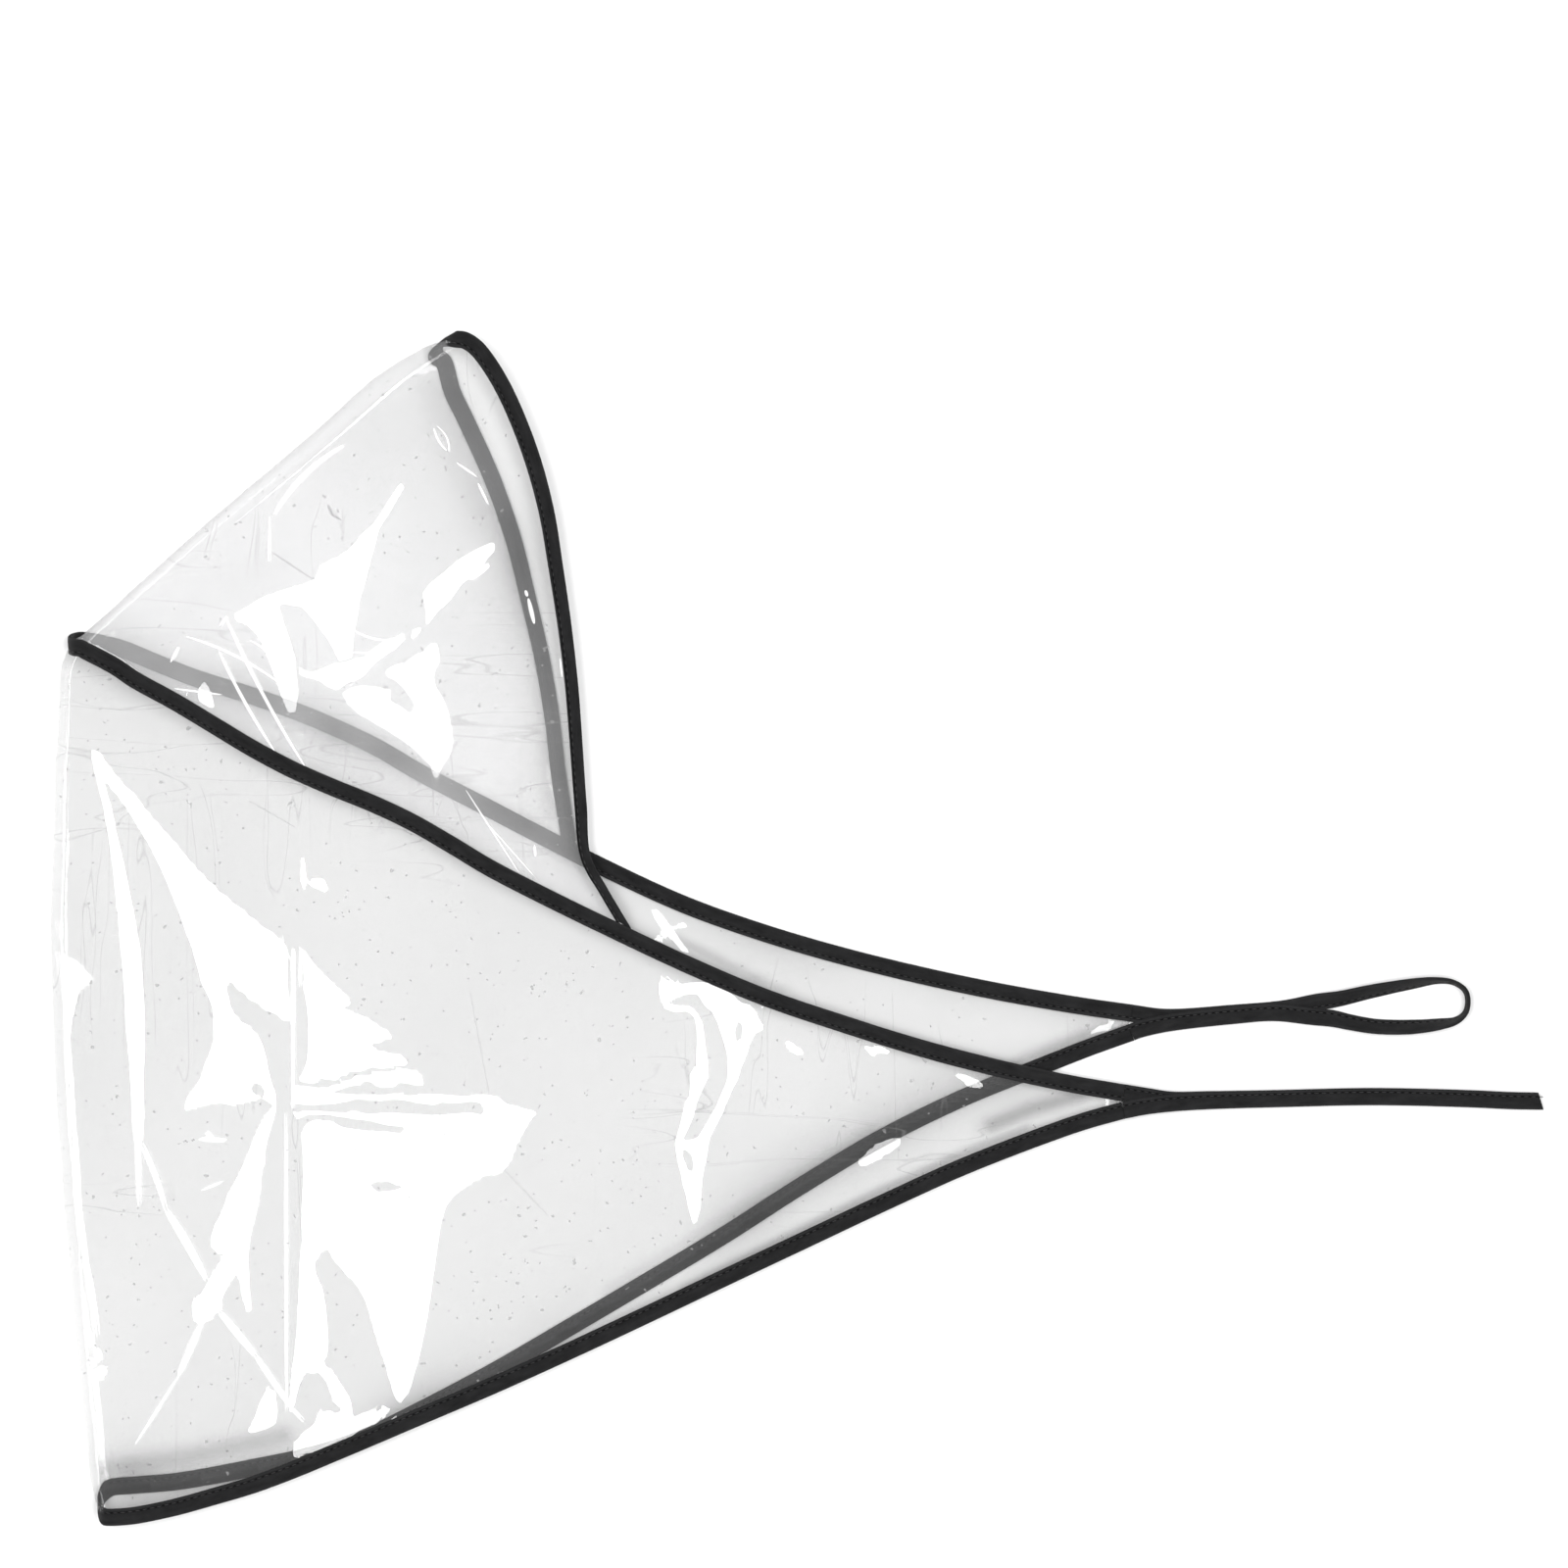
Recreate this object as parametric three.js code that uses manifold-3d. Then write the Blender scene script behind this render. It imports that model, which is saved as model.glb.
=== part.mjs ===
// A rain bonnet of clear film, folded in half on its fold line and laid flat.
// The crown is one leaf-shaped sheet and the visor one lens-shaped sheet, seamed to the crown's front edge.
// A folded tape binds every edge. Past the tips the tapes run on as a plain tie and a loop tie.
// Millimetres, +Z up, +X from the fold to the ties, +Y from the nape to the visor.

import * as THREE from "three";
import { mergeVertices } from "three/addons/utils/BufferGeometryUtils.js";
import Module from "manifold-3d";

const wasm = await Module();
wasm.setup();

// Driving dimensions of the laid bonnet
const HALF_SPAN = 387; // fold to tip
const CROWN_DEPTH = 307; // front corner to nape corner, along the fold
const VISOR_LENGTH = 184; // fold to the visor's furthest edge, along X
const VISOR_RISE = 108; // front corner up to the visor's top corner, along Y
const PLAIN_TIE_LENGTH = 132; // tip to cut end
const LOOP_TIE_LENGTH = 107; // tip to the loop's far end
const LOOP_SPREAD = 21; // overall width of the loop

// Film and tape
const FILM_THICKNESS = 1;
const TAPE_WIDTH = 6.1;
const TAPE_WALL = 1;
const TAPE_CHAMFER = 0.6;
const SEAM_WEB = 1; // tape between the crown's edge and the visor's edge
const TIE_THICKNESS = 2.4;
const SLOT_CLEARANCE = 0.3;
const PIECE_GAP = 0.3;

// How the two layers lie
const LAYER_GAP = 0.6; // least gap between the upper and lower tapes
const FOLD_RISE = 7; // how much higher the upper layer lies at the fold
const TURN_INNER_RADIUS = 2; // inside radius of a tape where it turns over the fold
const FOLD_BULGE = 9.4; // how far the crown's fold bows out
const BULGE_FADE = 95; // how far from the fold the film is still drawn out with it
const BULGE_ROUNDNESS = 0.8; // below 1 the bow is blunter than a sine
const VISOR_BULGE = 2.5; // how far the visor's fold bows out
const CROWN_SWELL = 7; // how far the upper layer rises between its edges, at the fold
const SWELL_FADE = 1.5; // how fast that dies away towards the tip
const VISOR_SWELL = 3;
const CREASE_HEIGHT = 2.6;
const CREASE_SPREAD = 26;
const CREASE_END = 0.1; // share of a crease's length that ends blunt
const EDGE_HOLD = 3; // how steeply creases grow out of the bound edges
const TIP_CHORD = 1; // film left between the tapes where a tie begins
const VISOR_END_CHORD = 5; // film left between the tapes where the visor ends

const HALF_TAPE = TAPE_WIDTH / 2;
const SLOT_WIDTH = FILM_THICKNESS + 2 * SLOT_CLEARANCE;
const TAPE_THICKNESS = SLOT_WIDTH + 2 * TAPE_WALL;
const LOWER_LEVEL = TAPE_THICKNESS / 2;
const LAYER_STEP = TAPE_THICKNESS + LAYER_GAP;
const TURN_REACH = TAPE_THICKNESS / 2 + TURN_INNER_RADIUS;
const SEAM_FLOOR = SEAM_WEB / 2; // slot floor, from the tape's centre line
const EDGE_FLOOR = TAPE_WALL - HALF_TAPE;

// Sections of the upper layer, from the fold to the tip. Along is a share of HALF_SPAN; front and nape are
// the two edges, shares of CROWN_DEPTH below the front corner; lift is a share of FOLD_RISE. The visor's
// edge there is a share of VISOR_LENGTH and of VISOR_RISE, and stops where it meets the seam.
const UPPER_SECTIONS = [
  { along: 0.046, front: 0.03, nape: 1.0, lift: 0.95, visorAlong: 0.797, visorUp: 0.95 },
  { along: 0.082, front: 0.056, nape: 0.994, lift: 0.85, visorAlong: 0.842, visorUp: 0.815 },
  { along: 0.136, front: 0.094, nape: 0.976, lift: 0.75, visorAlong: 0.889, visorUp: 0.618 },
  { along: 0.207, front: 0.144, nape: 0.948, lift: 0.62, visorAlong: 0.931, visorUp: 0.322 },
  { along: 0.296, front: 0.193, nape: 0.899, lift: 0.5, visorAlong: 0.959, visorUp: -0.019 },
  { along: 0.385, front: 0.258, nape: 0.852, lift: 0.42, visorAlong: 0.984, visorUp: -0.389 },
  { along: 0.461, front: 0.306, nape: 0.809, lift: 0.36, visorAlong: 0.998, visorUp: -0.688 },
  { along: 0.51, front: 0.335, nape: 0.78, lift: 0.33, visorMeetsSeam: true },
  { along: 0.617, front: 0.397, nape: 0.716, lift: 0.25 },
  { along: 0.742, front: 0.452, nape: 0.642, lift: 0.18 },
  { along: 0.866, front: 0.493, nape: 0.573, lift: 0.1 },
  { along: 0.947, front: 0.512, nape: 0.542, lift: -0.15 },
  { along: 1.0, front: 0.519, nape: 0.527, lift: -0.35 },
];

// Sections of the lower layer, which lies turned a few degrees further up
const LOWER_SECTIONS = [
  { along: 0.046, front: 0.005, nape: 0.969, lift: 0, visorAlong: 0.733, visorUp: 0.844 },
  { along: 0.082, front: 0.023, nape: 0.964, lift: 0, visorAlong: 0.769, visorUp: 0.72 },
  { along: 0.136, front: 0.048, nape: 0.952, lift: 0, visorAlong: 0.814, visorUp: 0.545 },
  { along: 0.207, front: 0.077, nape: 0.935, lift: 0, visorAlong: 0.861, visorUp: 0.299 },
  { along: 0.296, front: 0.132, nape: 0.893, lift: 0, visorAlong: 0.906, visorUp: -0.022 },
  { along: 0.385, front: 0.192, nape: 0.838, lift: 0, visorAlong: 0.94, visorUp: -0.363 },
  { along: 0.465, front: 0.243, nape: 0.78, lift: 0, visorMeetsSeam: true },
  { along: 0.545, front: 0.292, nape: 0.718, lift: 0 },
  { along: 0.643, front: 0.336, nape: 0.643, lift: 0 },
  { along: 0.759, front: 0.376, nape: 0.554, lift: 0 },
  { along: 0.866, front: 0.404, nape: 0.497, lift: 0 },
  { along: 0.947, front: 0.421, nape: 0.457, lift: 0 },
  { along: 1.0, front: 0.429, nape: 0.435, lift: 0 },
];

// Where each tape turns over the fold: the outermost point, then the start on the upper and lower layer
const FRONT_TURN = { along: 0.0045, edge: 0.003, upper: 0.005, lower: -0.0045 };
const NAPE_TURN = { along: 0.0312, edge: 0.987, upper: 1.0, lower: 0.968 };
const VISOR_TURN = {
  tip: { along: 0.711, up: 0.962 },
  upper: { along: 0.752, up: 0.985 },
  lower: { along: 0.72, up: 0.92 },
};
const TURN_ANGLES = [90, 60, 30, 0, -30, -60, -90];
const TURN_LEAD = 0.5; // level stretch beside the turn, a share of its reach

// Creases raised in the upper layer. Along is a share of HALF_SPAN and down a share of CROWN_DEPTH below the
// front corner, from one end to the other; height and spread are shares of CREASE_HEIGHT and CREASE_SPREAD.
const CROWN_CREASES = [
  { from: { along: 0.212, down: 0.27 }, to: { along: 0.208, down: 0.88 }, height: 1, spread: 1 },
  { from: { along: 0.11, down: 0.52 }, to: { along: 0.43, down: 0.535 }, height: 0.8, spread: 1 },
  { from: { along: 0.03, down: 0.13 }, to: { along: 0.19, down: 0.36 }, height: 0.9, spread: 0.9 },
  { from: { along: 0.07, down: 0.63 }, to: { along: 0.2, down: 0.87 }, height: 0.8, spread: 0.9 },
  { from: { along: 0.33, down: 0.51 }, to: { along: 0.29, down: 0.85 }, height: 0.7, spread: 0.9 },
  { from: { along: 0.55, down: 0.4 }, to: { along: 0.57, down: 0.66 }, height: 0.7, spread: 0.8 },
];

// Creases in the visor's upper layer, as shares of VISOR_LENGTH and of VISOR_RISE above the front corner
const VISOR_CREASES = [
  { from: { along: 0.32, up: 0.08 }, to: { along: 0.65, up: 0.5 }, height: 0.8, spread: 0.8 },
  { from: { along: 0.45, up: -0.2 }, to: { along: 0.69, up: 0.31 }, height: 0.8, spread: 0.8 },
  { from: { along: 0.6, up: -0.42 }, to: { along: 0.73, up: 0 }, height: 0.7, spread: 0.8 },
];

// The plain tie from its tip: along is a share of PLAIN_TIE_LENGTH, side and width are shares of TAPE_WIDTH
const PLAIN_TIE_ROWS = [
  { along: 0, side: -0.22, width: 1.12 },
  { along: 0.08, side: -0.17, width: 1.09 },
  { along: 0.18, side: -0.06, width: 1.07 },
  { along: 0.29, side: 0.03, width: 1.03 },
  { along: 0.5, side: 0.11, width: 1.0 },
  { along: 0.71, side: 0.11, width: 1.0 },
  { along: 0.92, side: -0.06, width: 1.07 },
  { along: 1.0, side: -0.11, width: 1.09 },
];
const CUT_SLANT = 0.33; // slant of the tie's cut end, a share of its width
const TIE_LANDING = 0.24; // share of the plain tie's length over which it comes down to the surface
const ROOT_FADE = 0.16; // share of a tie's length over which its root thins

// The loop tie's tape, out along the upper strand and back along the lower. Along is a share of
// LOOP_TIE_LENGTH from the tip, side a share of LOOP_SPREAD above the tip, width a share of TAPE_WIDTH.
const LOOP_ROWS = [
  { along: 0, side: 0.04, width: 1 },
  { along: 0.225, side: 0.11, width: 1 },
  { along: 0.386, side: 0.18, width: 1 },
  { along: 0.498, side: 0.295, width: 0.99 },
  { along: 0.569, side: 0.352, width: 0.97, open: true },
  { along: 0.675, side: 0.475, width: 0.89, open: true },
  { along: 0.804, side: 0.598, width: 0.74, open: true },
  { along: 0.894, side: 0.656, width: 0.46, open: true },
  { along: 0.945, side: 0.623, width: 0.37, open: true },
  { along: 0.981, side: 0.5, width: 0.34, open: true },
  { along: 0.992, side: 0.336, width: 0.31, open: true },
  { along: 0.984, side: 0.123, width: 0.34, open: true },
  { along: 0.955, side: -0.008, width: 0.46, open: true },
  { along: 0.9, side: -0.074, width: 0.74, open: true },
  { along: 0.804, side: -0.123, width: 0.91, open: true },
  { along: 0.691, side: -0.115, width: 0.94, open: true },
  { along: 0.604, side: -0.041, width: 0.97, open: true },
  { along: 0.553, side: 0.016, width: 1 },
  { along: 0.482, side: 0.054, width: 1 },
  { along: 0.354, side: 0.12, width: 1 },
  { along: 0.225, side: 0.07, width: 1 },
  { along: 0, side: -0.06, width: 1 },
];
const LOOP_STAND = { from: 0.78, to: 0.94, height: 0.9 }; // where the tape rises onto its edge

// How finely the pieces are divided
const STEPS_PER_SECTION = 2;
const CROWN_ROWS = 16;
const VISOR_ROWS = 9;
const TIE_STEPS = 22;
const LOOP_STEPS = 63;
const SEARCH_STEPS = 4000;
const LEAST_STEP = 0.25; // shortest stretch at an end, a share of a step

const crownPoint = (along, down, level) =>
  new THREE.Vector3(along * HALF_SPAN, -down * CROWN_DEPTH, level);
const visorPoint = (along, up, level) =>
  new THREE.Vector3(along * VISOR_LENGTH, up * VISOR_RISE, level);
const upperLevel = (lift) => LOWER_LEVEL + LAYER_STEP + lift * FOLD_RISE;

// The half ellipse that an edge follows over the fold, from the upper layer to the lower, with a level lead
// at each end
function turnPoints(upper, tip, lower) {
  const middle = upper.clone().add(lower).multiplyScalar(0.5);
  const rise = upper.clone().sub(middle);
  const reach = tip.clone().sub(middle);
  const lead = new THREE.Vector3(reach.x, reach.y, 0).multiplyScalar(-TURN_LEAD);
  const arc = TURN_ANGLES.map((angle) => {
    const radians = THREE.MathUtils.degToRad(angle);
    return middle.clone().addScaledVector(rise, Math.sin(radians)).addScaledVector(reach, Math.cos(radians));
  });
  return [upper.clone().add(lead), ...arc, lower.clone().add(lead)];
}

// A crown edge from the upper tip over the fold to the lower tip; edge is "front" or "nape"
function crownEdge(edge, turn) {
  const start = turn.along * HALF_SPAN + TURN_REACH;
  const middle = (upperLevel(1) + LOWER_LEVEL) / 2;
  const points = [
    ...UPPER_SECTIONS.map((row) => crownPoint(row.along, row[edge], upperLevel(row.lift))).reverse(),
    ...turnPoints(
      new THREE.Vector3(start, -turn.upper * CROWN_DEPTH, upperLevel(1)),
      crownPoint(turn.along, turn.edge, middle),
      new THREE.Vector3(start, -turn.lower * CROWN_DEPTH, LOWER_LEVEL),
    ),
    ...LOWER_SECTIONS.map((row) => crownPoint(row.along, row[edge], LOWER_LEVEL)),
  ];
  return new THREE.CatmullRomCurve3(points, false, "centripetal");
}

// The visor's outer edge, from its upper end on the seam over the fold to its lower end on the seam
function visorEdge() {
  const edgeRows = (sections, levelOf) =>
    sections
      .filter((row) => row.visorMeetsSeam || row.visorAlong !== undefined)
      .map((row) =>
        row.visorMeetsSeam
          ? crownPoint(row.along, row.front, levelOf(row))
          : visorPoint(row.visorAlong, row.visorUp, levelOf(row)),
      );
  const points = [
    ...edgeRows(UPPER_SECTIONS, (row) => upperLevel(row.lift)).reverse(),
    ...turnPoints(
      visorPoint(VISOR_TURN.upper.along, VISOR_TURN.upper.up, upperLevel(1)),
      visorPoint(VISOR_TURN.tip.along, VISOR_TURN.tip.up, (upperLevel(1) + LOWER_LEVEL) / 2),
      visorPoint(VISOR_TURN.lower.along, VISOR_TURN.lower.up, LOWER_LEVEL),
    ),
    ...edgeRows(LOWER_SECTIONS, () => LOWER_LEVEL),
  ];
  return new THREE.CatmullRomCurve3(points, false, "centripetal");
}

const FRONT_EDGE = crownEdge("front", FRONT_TURN);
const NAPE_EDGE = crownEdge("nape", NAPE_TURN);
const VISOR_EDGE = visorEdge();

// Places on an edge are counted in sections: 0 is the first point of FRONT_EDGE and NAPE_EDGE
const LAST_PLACE = FRONT_EDGE.points.length - 1;
const VISOR_FIRST = UPPER_SECTIONS.length - 1 - UPPER_SECTIONS.findIndex((row) => row.visorMeetsSeam);
const onEdge = (edge, place) => edge.getPoint(place / (edge.points.length - 1));
const onFront = (place) => onEdge(FRONT_EDGE, place);
const onNape = (place) => onEdge(NAPE_EDGE, place);
const onVisor = (place) => onEdge(VISOR_EDGE, place - VISOR_FIRST);
const VISOR_LAST = VISOR_FIRST + VISOR_EDGE.points.length - 1;

// The first place, stepping from one end of a stretch, where two edges are a given distance apart
function placeWhereApart(edgeA, edgeB, distance, from, to) {
  for (let step = 0; step <= SEARCH_STEPS; step += 1) {
    const place = THREE.MathUtils.lerp(from, to, step / SEARCH_STEPS);
    if (edgeA(place).distanceTo(edgeB(place)) >= distance) return place;
  }
  return to;
}

const MIDDLE_PLACE = LAST_PLACE / 2;
const TURN_PLACES = TURN_ANGLES.length + 1; // how many places a turn and its leads take up
const TIP_DISTANCE = TAPE_WIDTH + TIP_CHORD;
const CROWN_START = placeWhereApart(onFront, onNape, TIP_DISTANCE, 0, MIDDLE_PLACE);
const CROWN_END = placeWhereApart(onFront, onNape, TIP_DISTANCE, LAST_PLACE, MIDDLE_PLACE);
const VISOR_DISTANCE = TAPE_WIDTH + VISOR_END_CHORD;
const VISOR_START = placeWhereApart(onFront, onVisor, VISOR_DISTANCE, VISOR_FIRST, MIDDLE_PLACE);
const VISOR_END = placeWhereApart(onFront, onVisor, VISOR_DISTANCE, VISOR_LAST, MIDDLE_PLACE);

// Evenly divided places between two ends, the same for a sheet and for the tapes that hold it
function placesBetween(start, end) {
  const places = [start];
  const least = LEAST_STEP / STEPS_PER_SECTION;
  for (let step = 1; step < LAST_PLACE * STEPS_PER_SECTION; step += 1) {
    const place = step / STEPS_PER_SECTION;
    if (place > start + least && place < end - least) places.push(place);
  }
  places.push(end);
  return places;
}

// A frame across an edge: inward points at the opposite edge and up is square to the film
function frameAt(edge, curve, place, curvePlace, opposite) {
  const centre = edge(place);
  const along = curve.getTangent(curvePlace / (curve.points.length - 1));
  const inward = opposite(place).sub(centre);
  inward.addScaledVector(along, -inward.dot(along)).normalize();
  const up = new THREE.Vector3().crossVectors(along, inward);
  return { place, centre, along, inward, up };
}

const frontFrame = (place) => frameAt(onFront, FRONT_EDGE, place, place, onNape);
const napeFrame = (place) => frameAt(onNape, NAPE_EDGE, place, place, onFront);
const visorFrame = (place) => frameAt(onVisor, VISOR_EDGE, place, place - VISOR_FIRST, onFront);
const inFrame = (frame, inward, up) =>
  frame.centre.clone().addScaledVector(frame.inward, inward).addScaledVector(frame.up, up);

// The flat plane, square to X, in which the crown and its tapes end beside each tie
const tipPlane = (place) => (onFront(place).x + onNape(place).x) / 2;
const UPPER_TIP_X = tipPlane(CROWN_START);
const LOWER_TIP_X = tipPlane(CROWN_END);

// Slides a point along its frame onto the tip plane, where the frame is the first or the last
function trimmedAtTip(point, frame) {
  const isStart = frame.place === CROWN_START;
  if (!isStart && frame.place !== CROWN_END) return point;
  const plane = isStart ? UPPER_TIP_X : LOWER_TIP_X;
  return point.addScaledVector(frame.along, (plane - point.x) / frame.along.x);
}

// Moves every vertex of a closed geometry and merges it into one closed body
function remapped(geometry, move) {
  geometry.deleteAttribute("normal");
  geometry.deleteAttribute("uv");
  const position = geometry.attributes.position;
  for (let index = 0; index < position.count; index += 1) {
    const moved = move(position.getX(index), position.getY(index), position.getZ(index));
    position.setXYZ(index, moved.x, moved.y, moved.z);
  }
  const merged = mergeVertices(geometry, 1e-4);
  merged.computeVertexNormals();
  return merged;
}

function asSolid(geometry) {
  return new wasm.Manifold(
    new wasm.Mesh({
      numProp: 3,
      vertProperties: new Float32Array(geometry.attributes.position.array),
      triVerts: new Uint32Array(geometry.index.array),
    }),
  );
}

function asGeometry(solid) {
  const mesh = solid.getMesh();
  const geometry = new THREE.BufferGeometry();
  geometry.setAttribute("position", new THREE.BufferAttribute(mesh.vertProperties, 3));
  geometry.setIndex(new THREE.BufferAttribute(mesh.triVerts, 1));
  geometry.computeVertexNormals();
  return geometry;
}

// A section swept through frames: its x runs inward and its y up, and nothing dips below the surface
function swept(section, frames) {
  const steps = frames.length - 1;
  const bar = new THREE.ExtrudeGeometry(section, { steps, depth: steps, bevelEnabled: false });
  return remapped(bar, (x, y, z) => {
    const frame = frames[Math.round(z)];
    const point = trimmedAtTip(inFrame(frame, x, y), frame);
    return point.setZ(Math.max(0, point.z));
  });
}

const polygon = (corners) => new THREE.Shape(corners.map(([x, y]) => new THREE.Vector2(x, y)));

// The folded tape's section: a channel that opens inward, with its slot down to slotFloor
function tapeSection(slotFloor) {
  const top = TAPE_THICKNESS / 2;
  const slot = SLOT_WIDTH / 2;
  return polygon([
    [-HALF_TAPE, -top + TAPE_CHAMFER],
    [-HALF_TAPE + TAPE_CHAMFER, -top],
    [HALF_TAPE, -top],
    [HALF_TAPE, -slot],
    [slotFloor, -slot],
    [slotFloor, slot],
    [HALF_TAPE, slot],
    [HALF_TAPE, top],
    [-HALF_TAPE + TAPE_CHAMFER, top],
    [-HALF_TAPE, top - TAPE_CHAMFER],
  ]);
}

function rectangle(left, right, halfHeight) {
  return polygon([
    [left, -halfHeight],
    [right, -halfHeight],
    [right, halfHeight],
    [left, halfHeight],
  ]);
}

// How far a point lies up the flank of a crease: 1 on its line, 0 at its foot and past its ends
function creaseShare(point, from, to, spread) {
  const line = to.clone().sub(from);
  const run = THREE.MathUtils.clamp(point.clone().sub(from).dot(line) / line.lengthSq(), 0, 1);
  const away = point.distanceTo(from.clone().addScaledVector(line, run));
  const blunt = THREE.MathUtils.clamp(run, CREASE_END, 1 - CREASE_END);
  return Math.max(0, 1 - away / spread) * Math.sin(Math.PI * blunt);
}

function creaseHeight(point, creases, placeOf) {
  const flat = new THREE.Vector2(point.x, point.y);
  return creases.reduce((height, crease) => {
    const share = creaseShare(flat, placeOf(crease.from), placeOf(crease.to), crease.spread * CREASE_SPREAD);
    return Math.max(height, share * crease.height * CREASE_HEIGHT);
  }, 0);
}

const crownPlace = ({ along, down }) => new THREE.Vector2(along * HALF_SPAN, -down * CROWN_DEPTH);
const visorPlace = ({ along, up }) => new THREE.Vector2(along * VISOR_LENGTH, up * VISOR_RISE);

// How far a place is on the upper layer: 1 above, 0 below, between them over the fold
function upperShare(place) {
  const across = (place - (MIDDLE_PLACE - TURN_PLACES / 2)) / TURN_PLACES;
  return 1 - THREE.MathUtils.smoothstep(across, 0, 1);
}

// The middle of the crown's film: ruled from front to nape, bowed out at the fold, swollen and creased above
function crownSurface(place, across, start, end) {
  const point = start.clone().lerp(end, across);
  const middle = Math.sin(Math.PI * across);
  const fold = THREE.MathUtils.lerp(onFront(MIDDLE_PLACE).x, onNape(MIDDLE_PLACE).x, across);
  const nearFold = Math.max(0, 1 - (point.x - fold) / BULGE_FADE);
  const upper = upperShare(place);
  const outward = Math.max(0, 1 - point.x / HALF_SPAN);
  point.z += upper * CROWN_SWELL * middle * outward ** SWELL_FADE;
  point.z += upper * Math.min(1, EDGE_HOLD * middle) * creaseHeight(point, CROWN_CREASES, crownPlace);
  point.x -= FOLD_BULGE * middle ** BULGE_ROUNDNESS * nearFold ** 2;
  return point;
}

// The middle of the visor's film: ruled from the seam to its edge, bowed out at the fold
function visorSurface(place, across, start, end) {
  const point = start.clone().lerp(end, across);
  const middle = Math.sin(Math.PI * across);
  const nearFold = Math.max(0, 1 - Math.abs(place - MIDDLE_PLACE) / TURN_PLACES);
  const outward = new THREE.Vector3(-VISOR_RISE, VISOR_TURN.tip.along * VISOR_LENGTH, 0).normalize();
  const loose = upperShare(place) * Math.min(1, start.distanceTo(end) / VISOR_RISE);
  point.z += loose * VISOR_SWELL * middle;
  point.z += loose * Math.min(1, EDGE_HOLD * middle) * creaseHeight(point, VISOR_CREASES, visorPlace);
  return point.addScaledVector(outward, VISOR_BULGE * middle * nearFold);
}

// A film sheet between two framed edges. Its first and last rows lie in the tapes' slots and its second and
// last but one at the tapes' mouths; surface gives the rows between.
function filmSheet(places, rows, startFrame, startInset, endFrame, endInset, surface) {
  const side = Math.sign(startInset);
  const lines = places.map((place) => {
    const first = startFrame(place);
    const last = endFrame(place);
    const at = (frame, inward) => trimmedAtTip(inFrame(frame, inward, 0), frame);
    const mouthA = at(first, side * HALF_TAPE);
    const mouthB = at(last, HALF_TAPE);
    const points = [at(first, startInset), mouthA];
    for (let row = 2; row < rows - 1; row += 1) {
      points.push(surface(place, (row - 1) / (rows - 2), mouthA, mouthB));
    }
    points.push(mouthB, at(last, endInset));
    return { points, startUp: first.up.multiplyScalar(side), endUp: last.up.negate() };
  });
  const steps = places.length - 1;
  const normalAt = (i, j) => {
    if (j <= 1) return lines[i].startUp;
    if (j >= rows - 1) return lines[i].endUp;
    const before = lines[Math.max(0, i - 1)].points[j];
    const after = lines[Math.min(steps, i + 1)].points[j];
    const across = lines[i].points[j + 1].clone().sub(lines[i].points[j - 1]);
    return after.clone().sub(before).cross(across).normalize();
  };
  const slab = new THREE.BoxGeometry(1, 1, 1, rows, 1, steps);
  return remapped(slab, (x, y, z) => {
    const i = Math.round((z + 0.5) * steps);
    const j = Math.round((x + 0.5) * rows);
    return lines[i].points[j].clone().addScaledVector(normalAt(i, j), y * FILM_THICKNESS);
  });
}

const CROWN_PLACES = placesBetween(CROWN_START, CROWN_END);
const VISOR_PLACES = placesBetween(VISOR_START, VISOR_END);

function crownPanel() {
  const seamInset = SEAM_FLOOR + SLOT_CLEARANCE;
  const napeInset = EDGE_FLOOR + SLOT_CLEARANCE;
  return filmSheet(CROWN_PLACES, CROWN_ROWS, frontFrame, seamInset, napeFrame, napeInset, crownSurface);
}

function visorPanel() {
  const seamInset = -SEAM_FLOOR - SLOT_CLEARANCE;
  const edgeInset = EDGE_FLOOR + SLOT_CLEARANCE;
  return filmSheet(VISOR_PLACES, VISOR_ROWS, frontFrame, seamInset, visorFrame, edgeInset, visorSurface);
}

// The tape on the crown's front edge, with a second slot outward where it holds the visor
function seamBinding() {
  const tape = swept(tapeSection(SEAM_FLOOR), CROWN_PLACES.map(frontFrame));
  const slotPlaces = [VISOR_START - SLOT_CLEARANCE / 2, ...VISOR_PLACES.slice(1, -1)];
  slotPlaces.push(VISOR_END + SLOT_CLEARANCE / 2);
  const slot = rectangle(-TAPE_WIDTH, -SEAM_FLOOR, SLOT_WIDTH / 2);
  return asGeometry(asSolid(tape).subtract(asSolid(swept(slot, slotPlaces.map(frontFrame)))));
}

function napeBinding() {
  return swept(tapeSection(EDGE_FLOOR), CROWN_PLACES.map(napeFrame));
}

// The tape on the visor's outer edge, cut off along the seam's tape at both ends
function visorBinding() {
  const short = 1 / SEARCH_STEPS;
  const tapePlaces = [VISOR_FIRST + short, ...VISOR_PLACES, VISOR_LAST - short];
  const tape = swept(tapeSection(EDGE_FLOOR), tapePlaces.map(visorFrame));
  const keepOut = rectangle(
    -HALF_TAPE - PIECE_GAP,
    HALF_TAPE + PIECE_GAP,
    TAPE_THICKNESS / 2 + PIECE_GAP,
  );
  const seam = asSolid(swept(keepOut, CROWN_PLACES.map(frontFrame)));
  return asGeometry(asSolid(tape).subtract(seam));
}

// A flat tie cut from a plan outline, with its underside at floorAt(x) and its depth heightAt(x)
function flatTie(outline, floorAt, heightAt) {
  const slab = new THREE.ExtrudeGeometry(outline, { depth: 1, steps: 1, bevelEnabled: false });
  return remapped(slab, (x, y, z) => new THREE.Vector3(x, y, floorAt(x) + z * heightAt(x)));
}

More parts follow.
